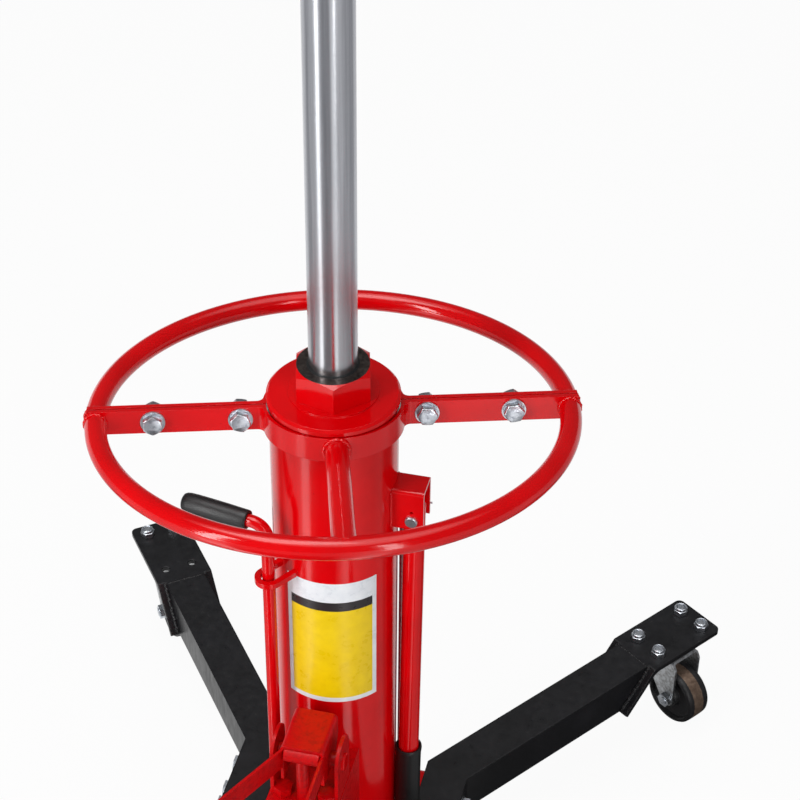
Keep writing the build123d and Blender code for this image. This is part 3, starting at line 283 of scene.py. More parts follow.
# %% Nut with a bare top
def make_nut_enamel():
    material = red_enamel.copy()
    material.name = "red_enamel_bare_top"
    bare_above = 736 * MM
    paint = material.node_tree.nodes["Principled BSDF"]
    bare = material.node_tree.nodes.new("ShaderNodeBsdfPrincipled")
    stain = noise(material, 6, 5, 0.6)
    oiled = ramp(material, stain, [(0.3, "#3E3836"), (0.55, "#6A615D"), (0.8, "#8C827D")])
    tie(material, oiled, bare, "Base Color")
    bare.inputs["Metallic"].default_value = 1.0
    bare.inputs["Roughness"].default_value = 0.34
    settings = {"wave_type": "RINGS", "rings_direction": "Z", "wave_profile": "SAW"}
    lathe = node(material, "TexWave", settings, {"Vector": place(material), "Scale": 70.0, "Distortion": 0.3})
    bump(material, bare, lathe.outputs[1], 0.04, 0.5, 0.4)
    normal = node(material, "NewGeometry").outputs["True Normal"]
    upright = node(material, "SeparateXYZ", links={0: normal}).outputs[2]
    high = node(material, "SeparateXYZ", links={0: place(material)}).outputs[2]
    is_flat = node(material, "Math", {"operation": "GREATER_THAN"}, {0: upright, 1: 0.98}).outputs[0]
    is_top = node(material, "Math", {"operation": "GREATER_THAN"}, {0: high, 1: bare_above}).outputs[0]
    share = node(material, "Math", {"operation": "MULTIPLY"}, {0: is_flat, 1: is_top}).outputs[0]
    mixed = node(material, "MixShader", links={0: share, 1: paint.outputs[0], 2: bare.outputs[0]})
    tie(material, mixed.outputs[0], material.node_tree.nodes["Material Output"], 0)
    return material


nut_enamel = make_nut_enamel()
print("made", nut_enamel.name)

# %% [markdown]
# The foot pump is worked by boots. Its enamel has lost its gloss: the shine is weak and broad.
# Its red is painted deeper than on the column as painted shade, so the pump looks less lit, and
# a fine mottle of scuffs lies in it. The material starts as a copy of the red enamel, because it
# is the same paint, worn and painted darker.

# %% Scuffed pedal enamel with painted shade
def make_shaded_scuffed_enamel():
    material = red_enamel.copy()
    material.name = "red_enamel_scuffed"
    shader = material.node_tree.nodes["Principled BSDF"]
    scuff = noise(material, 6, 6, 0.7)
    # Painted shade: the whole ramp is a deeper red than the column's, and the noise mottles it like scuffs.
    scuffed_and_shaded_red = ramp(material, scuff, [(0.3, "#9E0004"), (0.5, "#C40006"), (0.75, "#D00208")])
    tie(material, scuffed_and_shaded_red, shader, "Base Color")
    tie(material, spread(material, scuff, 0.3, 0.7, 0.42, 0.26), shader, "Roughness")
    shader.inputs["Specular IOR Level"].default_value = 0.3
    shader.inputs["Coat Weight"].default_value = 0.0
    return material


shaded_scuffed_enamel = make_shaded_scuffed_enamel()
print("made", shaded_scuffed_enamel.name)

# %% [markdown]
# The grips are black vinyl dipped or pushed on: nearly matt, with a fine moulded grain and a
# soft broad shine. The pedal pad wears the same, and the wiper seal a darker, duller one from the
# same function.

# %% Black rubber
def make_rubber(name, low, high, roughness):
    material, shader = new_material(name)
    cloud = noise(material, 22, 4)
    tie(material, ramp(material, cloud, [(0.3, low), (0.7, high)]), shader, "Base Color")
    tie(material, spread(material, cloud, 0.3, 0.7, roughness, roughness + 0.12), shader, "Roughness")
    bump(material, shader, noise(material, 1.4, 3, 0.6), 0.08, 0.6, 0.8)
    return material


grip_rubber = make_rubber("black_grip_vinyl", "#101011", "#1C1C1D", 0.36)
seal_rubber = make_rubber("black_seal_rubber", "#0A0A0A", "#151515", 0.5)
print("made", grip_rubber.name, seal_rubber.name)

# %% [markdown]
# The wheels are cast iron, painted black and rolled over a workshop floor. The tread has worn
# to a brown line along its middle. A number stored on the wheel's mesh says where that line is;
# noise frays its edges, so the paint looks rubbed away and not cut.

# %% Cast wheel iron
def make_wheel_iron():
    material, shader = new_material("worn_cast_iron")
    cast = noise(material, 3, 5, 0.65)
    painted = ramp(material, cast, [(0.3, "#141416"), (0.6, "#1F1E20"), (0.85, "#302D2E")])
    bare = ramp(material, noise(material, 6, 5, 0.7), [(0.3, "#6A5648"), (0.55, "#8E7868"), (0.8, "#B09A88")])
    worn = node(material, "Attribute", {"attribute_name": "tread_wear"}).outputs["Fac"]
    frayed = node(material, "Math", {"operation": "MULTIPLY_ADD"}, {0: cast, 1: 0.7, 2: worn}).outputs[0]
    share = spread(material, frayed, 0.75, 0.95, 0.0, 1.0)
    mixed = node(material, "Mix", {"data_type": "RGBA"}, {0: share, 6: painted, 7: bare}).outputs[2]
    tie(material, mixed, shader, "Base Color")
    tie(material, spread(material, cast, 0.3, 0.7, 0.36, 0.6), shader, "Roughness")
    tie(material, spread(material, share, 0.0, 1.0, 0.0, 0.75), shader, "Metallic")
    bump(material, shader, cast, 0.25, 0.6, 1.0)
    return material


wheel_iron = make_wheel_iron()
print("made", wheel_iron.name)

# %% [markdown]
# Each CAD solid takes the finish of its real counterpart. The record says which material a piece
# has, so the loop reads it there and names only the exceptions. A node's object keeps its mesh;
# only the material in its slots changes.

# %% Dress the solids
finishes = {
    "red_paint": red_enamel,
    "black_paint": black_coat,
    "zinc_steel": zinc_plate,
    "polished_steel": ram_chrome,
    "dark_steel": turned_steel,
    "black_rubber": grip_rubber,
    "seal_rubber": seal_rubber,
    "wheel_iron": wheel_iron,
}
foot_pump = ("foot_pedal", "pump_block", "pump_gland", "pump_block_bolts", "pump_plunger", "plunger_crossbar")
slot_of = {row["node"]: row["material_slot"] for row in frame["record"]["subparts"]}
for name, solid in frame["nodes"].items():
    finish = finishes[slot_of[name]]
    if name.startswith(("caster_fork", "caster_top_plate")):
        finish = fork_zinc
    if name == "gland_nut":
        finish = nut_enamel
    # The foot pump takes the darker enamel, whose deeper red is painted shade.
    if name in foot_pump:
        finish = shaded_scuffed_enamel
    solid.data.materials.clear()
    solid.data.materials.append(finish)
print("dressed", len(frame["nodes"]), "solids")

# %% [markdown]
# Small turned and hexagonal pieces come next. A turned piece starts as a circle that is extruded
# and resized ring by ring, the way a lathe profile is built by hand in edit mode. Each helper
# leaves an object at the origin with its shape in its mesh.

# %% Modelling helpers
def deselect():
    if bpy.context.object and bpy.context.object.mode != "OBJECT":
        bpy.ops.object.mode_set(mode="OBJECT")
    bpy.ops.object.select_all(action="DESELECT")


def apply_place():
    bpy.ops.object.transform_apply(location=True, rotation=True, scale=True)


def turned(name, profile, segments=48):
    """Spin-like solid about Z from (radius, height) pairs in mm; a radius of 0 closes it."""
    deselect()
    radius, height = profile[0]
    start = max(radius, 0.01)
    bpy.ops.mesh.primitive_circle_add(vertices=segments, radius=start * MM, location=(0, 0, height * MM))
    made = bpy.context.object
    made.name = name
    apply_place()
    bpy.ops.object.mode_set(mode="EDIT")
    bpy.ops.mesh.select_all(action="SELECT")
    for next_radius, next_height in profile[1:]:
        next_radius = max(next_radius, 0.01)
        rise = (next_height - height) * MM
        bpy.ops.mesh.extrude_region_move(TRANSFORM_OT_translate={"value": (0, 0, rise)})
        ratio = next_radius / start
        bpy.ops.transform.resize(value=(ratio, ratio, 1), center_override=(0, 0, 0))
        start, height = next_radius, next_height
    bpy.ops.mesh.select_all(action="SELECT")
    bpy.ops.mesh.remove_doubles(threshold=0.00003)
    bpy.ops.mesh.normals_make_consistent(inside=False)
    bpy.ops.object.mode_set(mode="OBJECT")
    deselect()
    return made


def finish_with(piece, kind, **settings):
    """Add a modifier, set it and apply it."""
    deselect()
    piece.select_set(True)
    bpy.context.view_layer.objects.active = piece
    modifier = piece.modifiers.new(kind.lower(), kind)
    for name, value in settings.items():
        setattr(modifier, name, value)
    bpy.ops.object.modifier_apply(modifier=modifier.name)


def smooth(piece, angle=35):
    deselect()
    piece.select_set(True)
    bpy.context.view_layer.objects.active = piece
    bpy.ops.object.shade_smooth_by_angle(angle=radians(angle))


def join(name, objects):
    deselect()
    for piece in objects:
        piece.select_set(True)
    bpy.context.view_layer.objects.active = objects[0]
    if len(objects) > 1:
        bpy.ops.object.join()
    made = bpy.context.object
    made.name = name
    made.data.name = name
    return made


def stamp(master, places, name):
    """Copies of a master, each with its own mesh at its own place, joined into one piece."""
    copies = []
    for where in places:
        copied = master.copy()
        copied.data = master.data.copy()
        copied.data.transform(where)
        bpy.context.scene.collection.objects.link(copied)
        copies.append(copied)
    return join(name, copies)


def discard(piece):
    mesh = piece.data
    bpy.data.objects.remove(piece)
    bpy.data.meshes.remove(mesh)


def facing(spot, direction, across=None):
    """Matrix that stands a piece's Z along direction at a spot in mm."""
    up = Vector(direction).normalized()
    side = Vector(across) if across else Vector((1, 0, 0)) if abs(up.z) > 0.9 else Vector((0, 0, 1))
    side = (side - up * side.dot(up)).normalized()
    turned_frame = Matrix((side, up.cross(side), up)).transposed().to_4x4()
    return Matrix.Translation(Vector(spot) * MM) @ turned_frame


def wear(piece, material):
    piece.data.materials.clear()
    piece.data.materials.append(material)


print("helpers ready")

# %% [markdown]
# A hexagon head is a six-sided prism whose corners were turned away by a slanted tool. A cone,
# intersected with the prism, leaves those curved shoulders, and a fine bevel takes the sharpness
# off every edge. A nut is shouldered at both ends and drilled. Booleans are used because they cut
# the same shape as the tool does.

# %% Hexagon heads and nuts
def hex_block(name, flats, height, hole=0.0, both_ends=False, top_share=0.475):
    """Chamfered hexagon standing on z = 0, in mm; top_share sets the radius of its flat top."""
    deselect()
    middle = (0, 0, height / 2 * MM)
    corner_radius = flats / sqrt(3) * MM
    bpy.ops.mesh.primitive_cylinder_add(vertices=6, radius=corner_radius, depth=height * MM, location=middle)
    block = bpy.context.object
    block.name = name
    apply_place()
    top = top_share * flats * MM
    foot = top + height * sqrt(3) * MM
    deselect()
    bpy.ops.mesh.primitive_cone_add(vertices=64, radius1=foot, radius2=top, depth=height * MM,
                                    location=middle)
    cone = bpy.context.object
    apply_place()
    finish_with(block, "BOOLEAN", operation="INTERSECT", solver="EXACT", object=cone)
    if both_ends:
        cone.data.transform(Matrix.Translation((0, 0, height * MM)) @ Matrix.Rotation(pi, 4, "X"))
        finish_with(block, "BOOLEAN", operation="INTERSECT", solver="EXACT", object=cone)
    discard(cone)
    if hole:
        deselect()
        bpy.ops.mesh.primitive_cylinder_add(vertices=48, radius=hole * MM, depth=4 * height * MM)
        drill = bpy.context.object
        finish_with(block, "BOOLEAN", operation="DIFFERENCE", solver="EXACT", object=drill)
        discard(drill)
    finish_with(block, "BEVEL", width=0.25 * MM, segments=2, limit_method="ANGLE", angle_limit=radians(35))
    smooth(block, 40)
    return block


def shank_end(name, radius, length, chamfer=1.2):
    """Bolt end with a chamfered tip, from z = 0 up."""
    profile = [(radius, 0.0), (radius, length - chamfer), (radius - chamfer, length), (0, length)]
    return turned(name, profile, 32)


print("hexagon and bolt end helpers ready")

# %% [markdown]
# The hand ring sits on the column at a slight tilt and turn. Its bolts and welds are therefore
# placed by its own directions: along the straps, back through them, and up. The sizes are those
# of the CAD model, in millimetres.

# %% Places on the hand ring
ring_height = 678.6
ring_turn = radians(17.4)
ring_tilt = radians(6.4)
clamp_spots = (-175.0, -90.5, 90.5, 175.0)
strap_face = 6.0
washer_thickness = 2.0
ring_x = Vector((cos(ring_turn), sin(ring_turn), 0))
ring_up = Vector((-sin(ring_turn) * sin(ring_tilt), cos(ring_turn) * sin(ring_tilt), cos(ring_tilt)))
ring_y = ring_up.cross(ring_x)
ring_centre = Vector((0, 0, ring_height))


def on_ring(along, back, up=0.0):
    return ring_centre + ring_x * along + ring_y * back + ring_up * up


print("ring centre at", tuple(ring_centre))

# %% [markdown]
# Four bolts clamp the two halves of the ring together, with their heads in front and nuts behind.
# Each head and nut is left at an angle of its own, as a spanner leaves them. One of each kind is
# modelled and then copied to its places. The copies are joined into one piece for the bolts and
# one for the nuts, which take the place of the plain CAD solids.

# %% Clamp bolts and nuts
clamp_flats, clamp_head_height, clamp_nut_height = 18.0, 7.5, 9.0
clamp_face = strap_face + washer_thickness
clamp_overrun = 2.0
shank_radius = 5.9
head_twist, nut_twist = 0.27, 0.4
head_places, nut_places, tip_places = [], [], []
for index, spot in enumerate(clamp_spots):
    front, back = on_ring(spot, -clamp_face), on_ring(spot, clamp_face)
    head_places.append(facing(front, -ring_y, ring_x + ring_up * head_twist * index))
    nut_places.append(facing(back, ring_y, ring_x + ring_up * nut_twist * index))
    tip_places.append(facing(back, ring_y))
head = hex_block("head_master", clamp_flats, clamp_head_height)
clamp_heads = stamp(head, head_places, "clamp_bolt_heads")
discard(head)
nut = hex_block("nut_master", clamp_flats, clamp_nut_height, hole=shank_radius, both_ends=True)
clamp_nut_set = stamp(nut, nut_places, "clamp_nut_set")
discard(nut)
tip = shank_end("tip_master", shank_radius, clamp_nut_height + clamp_overrun)
clamp_tips = stamp(tip, tip_places, "clamp_bolt_tips")
discard(tip)
clamp_heads = join("clamp_bolt_heads", [clamp_heads, clamp_tips])
for piece, solid in ((clamp_heads, "clamp_bolts"), (clamp_nut_set, "clamp_nuts")):
    wear(piece, zinc_plate)
    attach(piece, "base_body")
    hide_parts(solid)
print("clamp bolts:", len(clamp_heads.data.polygons), "faces")

# %% [markdown]
# The casters are held by lock nuts: a hexagon with a round collar rolled over a nylon ring, and
# the bolt's end just inside it. The collar is turned ring by ring like the other round pieces.
# Their places are given along and across the slanting leg. The rear left leg has only its outer
# pair, and its other two holes are open.

# %% Lock nuts on the leg plates
beam_centre_x = 107.2
beam_fold_y = 80.6
leg_length = 360.0
leg_sideways, leg_lengthways = 0.6, 0.8
caster_x = beam_centre_x + leg_sideways * leg_length
caster_y = beam_fold_y + leg_lengthways * leg_length
plate_top = 118.0
plate_bottom = 109.0
bolt_along, bolt_across = 37.0, 17.5
corners = {"front_left": (-1, -1), "front_right": (1, -1), "rear_left": (-1, 1), "rear_right": (1, 1)}


def on_leg(side_x, side_y, along, across, height):
    out = Vector((leg_sideways * side_x, leg_lengthways * side_y, 0))
    over = Vector((-out.y, out.x, 0))
    return Vector((side_x * caster_x, side_y * caster_y, height)) + out * along + over * across


nut_places, bolt_places = [], []
for corner, (side_x, side_y) in corners.items():
    for along in (-bolt_along, bolt_along):
        for across in (-bolt_across, bolt_across):
            if corner == "rear_left" and along < 0:
                continue
            turn_by = Vector((cos(along + across), sin(along + across), 0))
            above = on_leg(side_x, side_y, along, across, plate_top)
            below = on_leg(side_x, side_y, along, across, plate_bottom)
            nut_places.append(facing(above, (0, 0, 1), turn_by))
            bolt_places.append(facing(below, (0, 0, -1), turn_by))
lock_flats, lock_height, stud_radius = 16.0, 6.4, 4.9
hexagon = hex_block("hexagon_master", lock_flats, lock_height, hole=stud_radius)
collar = turned("collar_master", [
    (stud_radius, 5.9), (7.5, 5.9), (7.5, 8.4), (7.2, 9.2), (6.5, 9.8),
    (5.9, 9.9), (5.6, 9.7), (5.5, 9.3), (stud_radius, 9.3), (stud_radius, 5.9),
])
smooth(collar, 50)
stud = turned("stud_master", [(stud_radius, -9.5), (stud_radius, 8.4), (4.2, 9.1), (0, 9.1)], 32)
smooth(stud, 40)
lock_nut = join("lock_nut_master", [hexagon, collar])
lock_nuts = stamp(lock_nut, nut_places, "caster_lock_nuts")
discard(lock_nut)
under_head = hex_block("under_head_master", lock_flats, lock_height)
studs = stamp(stud, nut_places, "caster_bolt_studs")
under_heads = stamp(under_head, bolt_places, "caster_bolt_heads")
discard(under_head)
discard(stud)
caster_bolts = join("caster_bolt_set", [studs, under_heads])
for piece, solid in ((lock_nuts, "caster_plate_nuts"), (caster_bolts, "caster_plate_bolts")):
    wear(piece, zinc_plate)
    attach(piece, "base_body")
    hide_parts(solid)
print("lock nuts:", len(nut_places))

# %% [markdown]
# Welds join the plates, straps and brackets. A hand-laid bead is a row of overlapping ripples.
# One flattened ball is modelled once and laid along each seam, a little uneven in size, and the
# row is fused by a voxel remesh so that it reads as one bead. A tube swept along a curve would be
# simpler, but too smooth for a weld.

# %% Weld bead helper
def seam(name, points, size, body, material):
    """Weld bead through points in mm; size is its half width."""
    deselect()
    bpy.ops.mesh.primitive_uv_sphere_add(segments=14, ring_count=9, radius=size * MM)
    ripple = bpy.context.object
    ripple.scale = (0.62, 1.0, 0.8)
    apply_place()
    places = []
    step = size * 0.72
    count = 0
    for start, end in zip(points, points[1:]):
        start, end = Vector(start), Vector(end)
        run = end - start
        pieces_here = max(2, round(run.length / step))
        for index in range(pieces_here + 1):
            spot = start + run * (index / pieces_here)
            wobble = 1.0 + 0.11 * sin(count * 2.3) + 0.07 * sin(count * 5.1)
            side = run.normalized()
            up = Vector((0, 0, 1)) if abs(side.z) < 0.9 else Vector((1, 0, 0))
            over = up.cross(side).normalized()
            frame_here = Matrix((side, over, side.cross(over))).transposed().to_4x4()
            places.append(Matrix.Translation(spot * MM) @ frame_here @ Matrix.Scale(wobble, 4))
            count += 1
    bead = stamp(ripple, places, name)
    discard(ripple)
    finish_with(bead, "REMESH", mode="VOXEL", voxel_size=max(0.45, size * 0.16) * MM)
    finish_with(bead, "SMOOTH", factor=0.5, iterations=2)
    smooth(bead, 80)
    wear(bead, material)
    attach(bead, body)
    return bead


def red_seam(name, points, size):
    seam(name, points, size, "base_body", red_enamel)


def black_seam(name, points, size):
    seam(name, points, size, "base_body", black_coat)


def circle_on_ring(along, back, radius, count):
    """Points of a closed circle round a spot of the clamp ring, square to its straps."""
    turns = [2 * pi * index / count for index in range(count + 1)]
    return [on_ring(along + radius * sin(a), back, radius * cos(a)) for a in turns]


print("weld helpers ready")

# %% [markdown]
# Black beads lie along the edges of the plates on the legs' ends, and red ones round the spokes,
# round the ends of the ring's pipes and beside the lever bracket. Their points are given on the
# leg or on the ring, so loops over corners and halves lay them all.

# %% Weld beads
tab_edge = 26.0
tab_top, tab_low = (-61.5, 116.0), (-103.0, 70.0)
fold_along, fold_half, fold_height = -63.0, 22.0, 117.4
tab_bead, fold_bead = 3.2, 1.6
for corner, (side_x, side_y) in corners.items():
    for over_side, side_name in ((-1, "in"), (1, "out")):
        top = on_leg(side_x, side_y, tab_top[0], over_side * tab_edge, tab_top[1])
        low = on_leg(side_x, side_y, tab_low[0], over_side * tab_edge, tab_low[1])
        black_seam(f"leg_tab_weld_{corner}_{side_name}", [top, low], tab_bead)
    fold = [on_leg(side_x, side_y, fold_along, end * fold_half, fold_height) for end in (-1, 1)]
    black_seam(f"leg_top_weld_{corner}", fold, fold_bead)
ring_radius = 230.0
spoke_back, spoke_weld_radius = 69.6, 12.4
strap_back, pipe_weld_radius = 6.6, 11.0
spoke_bead, thin_bead = 2.4, 1.8
for name, half in (("front", -1), ("rear", 1)):
    round_spoke = circle_on_ring(0.0, half * spoke_back, spoke_weld_radius, 16)
    red_seam(f"{name}_spoke_weld", round_spoke, spoke_bead)
    for end, end_name in ((-1, "left"), (1, "right")):
        round_pipe = circle_on_ring(end * ring_radius, half * strap_back, pipe_weld_radius, 14)
        red_seam(f"{name}_ring_weld_{end_name}", round_pipe, thin_bead)
bracket_x, bracket_side, bracket_low, bracket_high = 61.8, 16.6, 560, 602
for side, side_name in ((-1, "front"), (1, "back")):
    ends = [(bracket_x, side * bracket_side, height) for height in (bracket_low, bracket_high)]
    red_seam(f"bracket_weld_{side_name}", ends, thin_bead)
print("weld beads laid")

# %% [markdown]
# The grips are soft vinyl sleeves pushed over the tubes. The lever's sleeve has a rolled lip at
# its mouth and a rounded closed end; the release rod's sleeve swells a little in the middle. Both
# are turned profiles, because a profile holds such small changes of radius exactly. A matrix on
# the mesh then lays each one along its tube.

# %% Grips
lever_foot = Vector((82.2, 0, 569.0))
lever_lean = radians(0.5)
lever_up = Vector((sin(lever_lean), 0, cos(lever_lean)))
sleeve = turned("lever_sleeve", [
    (0, -444.0), (6.0, -444.0), (10.5, -443.2), (12.8, -441.2), (13.8, -438.0), (13.9, -430.0),
    (13.7, -400.0), (13.7, -352.0), (13.8, -343.0), (14.3, -339.0), (14.5, -336.0), (14.3, -334.0),
    (13.4, -333.1), (12.3, -333.3), (11.5, -334.6), (11.1, -338.0), (11.02, -350.0), (11.02, -438.5),
    (0, -438.5),
], 56)
smooth(sleeve, 50)
sleeve.data.transform(facing(lever_foot, lever_up, (0, 1, 0)))
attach(sleeve, "lever_body")
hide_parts("lever_grip")

release_foot = Vector((-49.4, -72.7, 584.0))
release_turn = radians(170)
release_way = Vector((cos(release_turn), sin(release_turn), 0))
short_sleeve = turned("release_sleeve", [
    (6.52, 32.0), (6.55, 22.0), (7.2, 20.4), (8.6, 20.0), (9.6, 20.5), (10.0, 22.0), (10.1, 30.0),
    (10.4, 45.0), (10.5, 62.0), (10.4, 78.0), (10.1, 85.0), (9.4, 88.6), (8.2, 90.8), (6.2, 91.8),
    (3.0, 92.0), (0, 92.0),
], 48)
smooth(short_sleeve, 50)
short_sleeve.data.transform(facing(release_foot, release_way, (0, 0, 1)))
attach(short_sleeve, "release_body")
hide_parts("release_grip")
for piece in (sleeve, short_sleeve):
    wear(piece, grip_rubber)
print("grips pushed on")

# %% [markdown]
# A cast wheel has a thick rim, a web sunk on both sides, a hub, and a tread that is rolled bare
# along its middle. Its outline is drawn for one side and mirrored for the other. The worn stripe
# is stored on the mesh as a number per point, so it turns with the wheel.

# %% Wheels
wheel_side = [
    (5.05, -18.2), (12.2, -18.2), (13.0, -17.4), (13.7, -11.2), (15.2, -10.2), (27.8, -10.2), (29.8, -11.0),
    (31.2, -15.0), (32.2, -16.0), (34.4, -16.0), (35.8, -15.0), (37.0, -13.2), (37.3, -10.5), (37.45, -7.5),
    (37.5, -4.5), (37.5, -1.5),
]
other_side = [(radius, -height) for radius, height in reversed(wheel_side)]
wheel = turned("wheel_master", wheel_side + other_side + wheel_side[:1], 72)
smooth(wheel, 40)
tread_inner_radius, tread_half_width, tread_shift = 37.35, 6.5, 1.5
worn = wheel.data.attributes.new("tread_wear", "FLOAT", "POINT")
for vertex in wheel.data.vertices:
    out_from_axle = hypot(vertex.co.x, vertex.co.y) / MM
    along_axle = abs(vertex.co.z / MM - tread_shift)
    on_tread = out_from_axle > tread_inner_radius and along_axle < tread_half_width
    worn.data[vertex.index].value = float(on_tread)
headings = {
    "front_left": (0.8, 0.6),
    "front_right": (-0.6, 0.8),
    "rear_left": (0.6, -0.8),
    "rear_right": (0.8, -0.6),
}
caster_trail = 25.0
wheel_radius = 37.5
for corner, (side_x, side_y) in corners.items():
    heading = Vector((*headings[corner], 0))
    axle = Vector((side_x * caster_x, side_y * caster_y, wheel_radius)) + heading * caster_trail
    rolled = stamp(wheel, [facing(axle, (heading.y, -heading.x, 0), (0, 0, 1))], f"rolled_wheel_{corner}")
    wear(rolled, wheel_iron)
    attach(rolled, f"wheel_body_{corner}")
    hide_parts(f"caster_wheel_{corner}")
discard(wheel)
print("wheels cast")

# %% [markdown]
# A plain vinyl label wraps the column: a white edge and header, a dark band and a yellow field.
# A flat grid is curved round the column by moving its points, so its UV map stays a plain
# rectangle, and a solidify modifier gives it the thickness of vinyl.

# %% Vinyl label
label_left, label_right = radians(-34.4), radians(54.8)
label_low, label_high = 346.0, 511.0
label_radius = 63.56
label_thickness = 0.14
deselect()
bpy.ops.mesh.primitive_grid_add(x_subdivisions=72, y_subdivisions=24, size=1.0, calc_uvs=True)
label = bpy.context.object
label.name = "blank_label"
apply_place()
for vertex in label.data.vertices:
    angle = label_left + (vertex.co.x + 0.5) * (label_right - label_left)
    height = label_low + (vertex.co.y + 0.5) * (label_high - label_low)
    vertex.co = Vector((label_radius * sin(angle), -label_radius * cos(angle), height)) * MM
finish_with(label, "SOLIDIFY", thickness=label_thickness * MM, offset=1.0)
smooth(label, 40)
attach(label, "base_body")
print("label grid:", len(label.data.polygons), "faces")

# %% [markdown]
# The label's fields are plain rectangles. They are drawn by comparing the two UV coordinates with
# fixed shares of the width and height, which keeps their borders sharp at any distance and needs
# no image file.

# %% Label vinyl
def make_label_vinyl():
    material, shader = new_material("printed_vinyl_label")
    uv = node(material, "UVMap").outputs[0]
    split = node(material, "SeparateXYZ", links={0: uv})
    across, up = split.outputs[0], split.outputs[1]

    def between(value, low, high):
        above = node(material, "Math", {"operation": "GREATER_THAN"}, {0: value, 1: low}).outputs[0]
        below = node(material, "Math", {"operation": "LESS_THAN"}, {0: value, 1: high}).outputs[0]
        return node(material, "Math", {"operation": "MULTIPLY"}, {0: above, 1: below}).outputs[0]

    edge_left, edge_right = 0.052, 0.948
    field_low, band_low, band_high = 0.036, 0.775, 0.846
    inner = between(across, edge_left, edge_right)
    multiply = {"operation": "MULTIPLY"}
    band = node(material, "Math", multiply, {0: inner, 1: between(up, band_low, band_high)}).outputs[0]
    field = node(material, "Math", multiply, {0: inner, 1: between(up, field_low, band_low)}).outputs[0]
    dust = noise(material, 14, 5, 0.6)
    white = ramp(material, dust, [(0.3, "#DDE2E8"), (0.7, "#EEF1F4")])
    yellow = ramp(material, dust, [(0.3, "#E6C200"), (0.7, "#F4D200")])
    first = node(material, "Mix", {"data_type": "RGBA"}, {0: field, 6: white, 7: yellow}).outputs[2]
    dark = colour("#2B2628")
    second = node(material, "Mix", {"data_type": "RGBA"}, {0: band, 6: first, 7: dark}).outputs[2]
    tie(material, second, shader, "Base Color")
    tie(material, spread(material, dust, 0.3, 0.7, 0.24, 0.38), shader, "Roughness")
    bump(material, shader, noise(material, 8, 3), 0.06, 0.35, 0.05)
    return material


wear(label, make_label_vinyl())
print("label laid")

# %% [markdown]
# The studio: a white floor that keeps a faint shadow, and a white world behind it. Seen from
# above, the upright column mirrors the floor, so light panels lie on the floor round the jack.
# They show in reflections alone, as bright and dark sectors by the angle round the column: they
# draw the tall narrow highlights and the deep red between them. The shader asks which kind of ray
# meets it: camera rays get white paper with a faint shadow, and mirrored rays get the panels.

# %% Floor with its light panels
floor_size, floor_drop = 40.0, 0.0005
deselect()
bpy.ops.mesh.primitive_plane_add(size=floor_size, location=(0, 0, -floor_drop))
floor = bpy.context.object
floor.name = "studio_floor"
apply_place()
floor_material, floor_shader = new_material("white_paper_floor")
paths = node(floor_material, "LightPath")
spot = node(floor_material, "SeparateXYZ", links={0: place(floor_material)})
toward = node(floor_material, "Math", {"operation": "MULTIPLY"}, {0: spot.outputs[1], 1: -1.0}).outputs[0]
angle = node(floor_material, "Math", {"operation": "ARCTAN2"}, {0: spot.outputs[0], 1: toward}).outputs[0]
turn_share = spread(floor_material, angle, -pi, pi, 0.0, 1.0)
sectors = [
    (-180, "#9A9A9A"), (-150, "#B4B4B4"), (-112, "#9A9A9A"), (-97, "#303030"), (-88, "#3A3A3A"),
    (-76, "#7A7A7A"), (-56, "#7A7A7A"), (-45, "#A0A0A0"), (-42, "#FFFFFF"), (-31, "#FFFFFF"),
    (-27, "#606060"), (-14, "#202020"), (14, "#202020"), (22, "#8A8A8A"), (30, "#D0D0D0"),
    (37, "#D0D0D0"), (41, "#8E8E8E"), (62, "#747474"), (86, "#606060"), (104, "#606060"),
    (112, "#242424"), (134, "#242424"), (146, "#9A9A9A"), (180, "#9A9A9A"),
]
panels = ramp(floor_material, turn_share, [((degree + 180) / 360, chip) for degree, chip in sectors])
away = node(floor_material, "VectorMath", {"operation": "LENGTH"}, {0: place(floor_material)}).outputs[1]
haze = spread(floor_material, away, 0.9, 1.2, 0.0, 0.42)
far_grey = colour("#A8A8AC")
softened = node(floor_material, "Mix", {"data_type": "RGBA"}, {0: haze, 6: panels, 7: far_grey}).outputs[2]
panel_glow = node(floor_material, "Emission", links={"Color": softened, "Strength": 2.2})
white_glow = node(floor_material, "Emission", links={"Color": (1, 1, 1, 1), "Strength": 1.0})
seen = {0: paths.outputs["Is Camera Ray"], 1: 0.94}
camera_share = node(floor_material, "Math", {"operation": "MULTIPLY"}, seen).outputs[0]
floor_shader.inputs["Base Color"].default_value = colour("#E6E6E6")
floor_shader.inputs["Roughness"].default_value = 0.9
paper = {0: camera_share, 1: floor_shader.outputs[0], 2: white_glow.outputs[0]}
first_mix = node(floor_material, "MixShader", links=paper)
mirrored_floor = {0: paths.outputs["Is Glossy Ray"], 1: first_mix.outputs[0], 2: panel_glow.outputs[0]}
last_mix = node(floor_material, "MixShader", links=mirrored_floor)
tie(floor_material, last_mix.outputs[0], floor_material.node_tree.nodes["Material Output"], 0)
floor.data.materials.append(floor_material)
print("floor laid with", len(sectors), "sector stops")

# %% [markdown]
# The world lights the jack evenly from all round, and shows plain white where the camera looks
# past the floor. In reflections it is dim, with a bright patch straight overhead that draws the
# line of light along the hand ring.

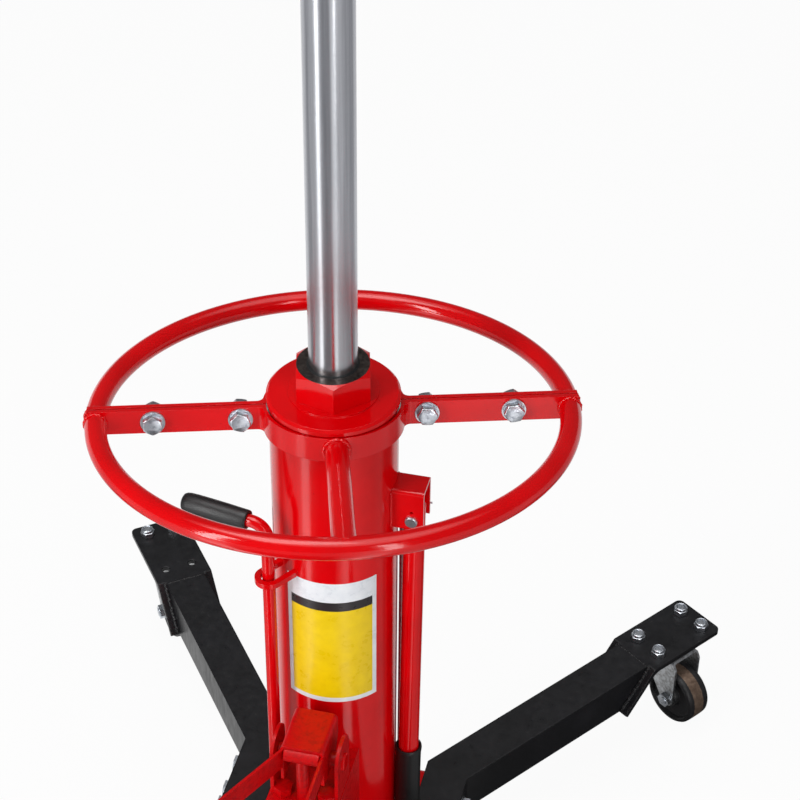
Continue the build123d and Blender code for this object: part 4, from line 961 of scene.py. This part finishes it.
# %% World
world = bpy.context.scene.world or bpy.data.worlds.new("studio_world")
bpy.context.scene.world = world
world.use_nodes = True
world.node_tree.nodes.clear()
white = (1, 1, 1, 1)
world_out = node(world, "OutputWorld")
world_paths = node(world, "LightPath")
ambient = node(world, "Background", links={0: white, 1: 0.42})
backdrop = node(world, "Background", links={0: white, 1: 1.0})
sky = node(world, "TexCoord").outputs["Generated"]
sky_height = node(world, "SeparateXYZ", links={0: sky}).outputs[2]
patch = spread(world, sky_height, 0.80, 0.94, 0.10, 2.2)
mirrored = node(world, "Background", links={0: white, 1: patch})
reflected = {0: world_paths.outputs["Is Glossy Ray"], 1: ambient.outputs[0], 2: mirrored.outputs[0]}
lit = node(world, "MixShader", links=reflected)
viewed = {0: world_paths.outputs["Is Camera Ray"], 1: lit.outputs[0], 2: backdrop.outputs[0]}
choice = node(world, "MixShader", links=viewed)
tie(world, choice.outputs[0], world_out, 0)
print("world nodes:", len(world.node_tree.nodes))

# %% [markdown]
# Three soft boxes model the form. The left one is the strongest and gives the bright edge on the
# nut and the ram, the right one fills, and the top one lays the pale sheen on the legs. Area
# lamps are used because their size sets how soft a shadow and how wide a highlight becomes.

# %% Lamps
def soft_box(name, spot, aim, width, height, watts):
    """An area lamp at spot that faces aim."""
    data = bpy.data.lights.new(name, "AREA")
    data.shape = "RECTANGLE"
    data.size = width
    data.size_y = height
    data.energy = watts
    lamp = bpy.data.objects.new(name, data)
    bpy.context.scene.collection.objects.link(lamp)
    facing_back = (Vector(spot) - Vector(aim)).to_track_quat("Z", "Y").to_matrix().to_4x4()
    lamp.matrix_world = Matrix.Translation(spot) @ facing_back
    return lamp


soft_box("left_soft_box", (-1.45, -1.95, 1.3), (0, 0, 0.7), 0.4, 2.4, 36)
soft_box("right_soft_box", (1.5, -1.9, 1.3), (0, 0, 0.7), 0.3, 2.4, 17)
soft_box("top_soft_box", (-0.5, -0.3, 3.2), (0, 0, 0.5), 1.5, 1.5, 26)
print("lamps placed")
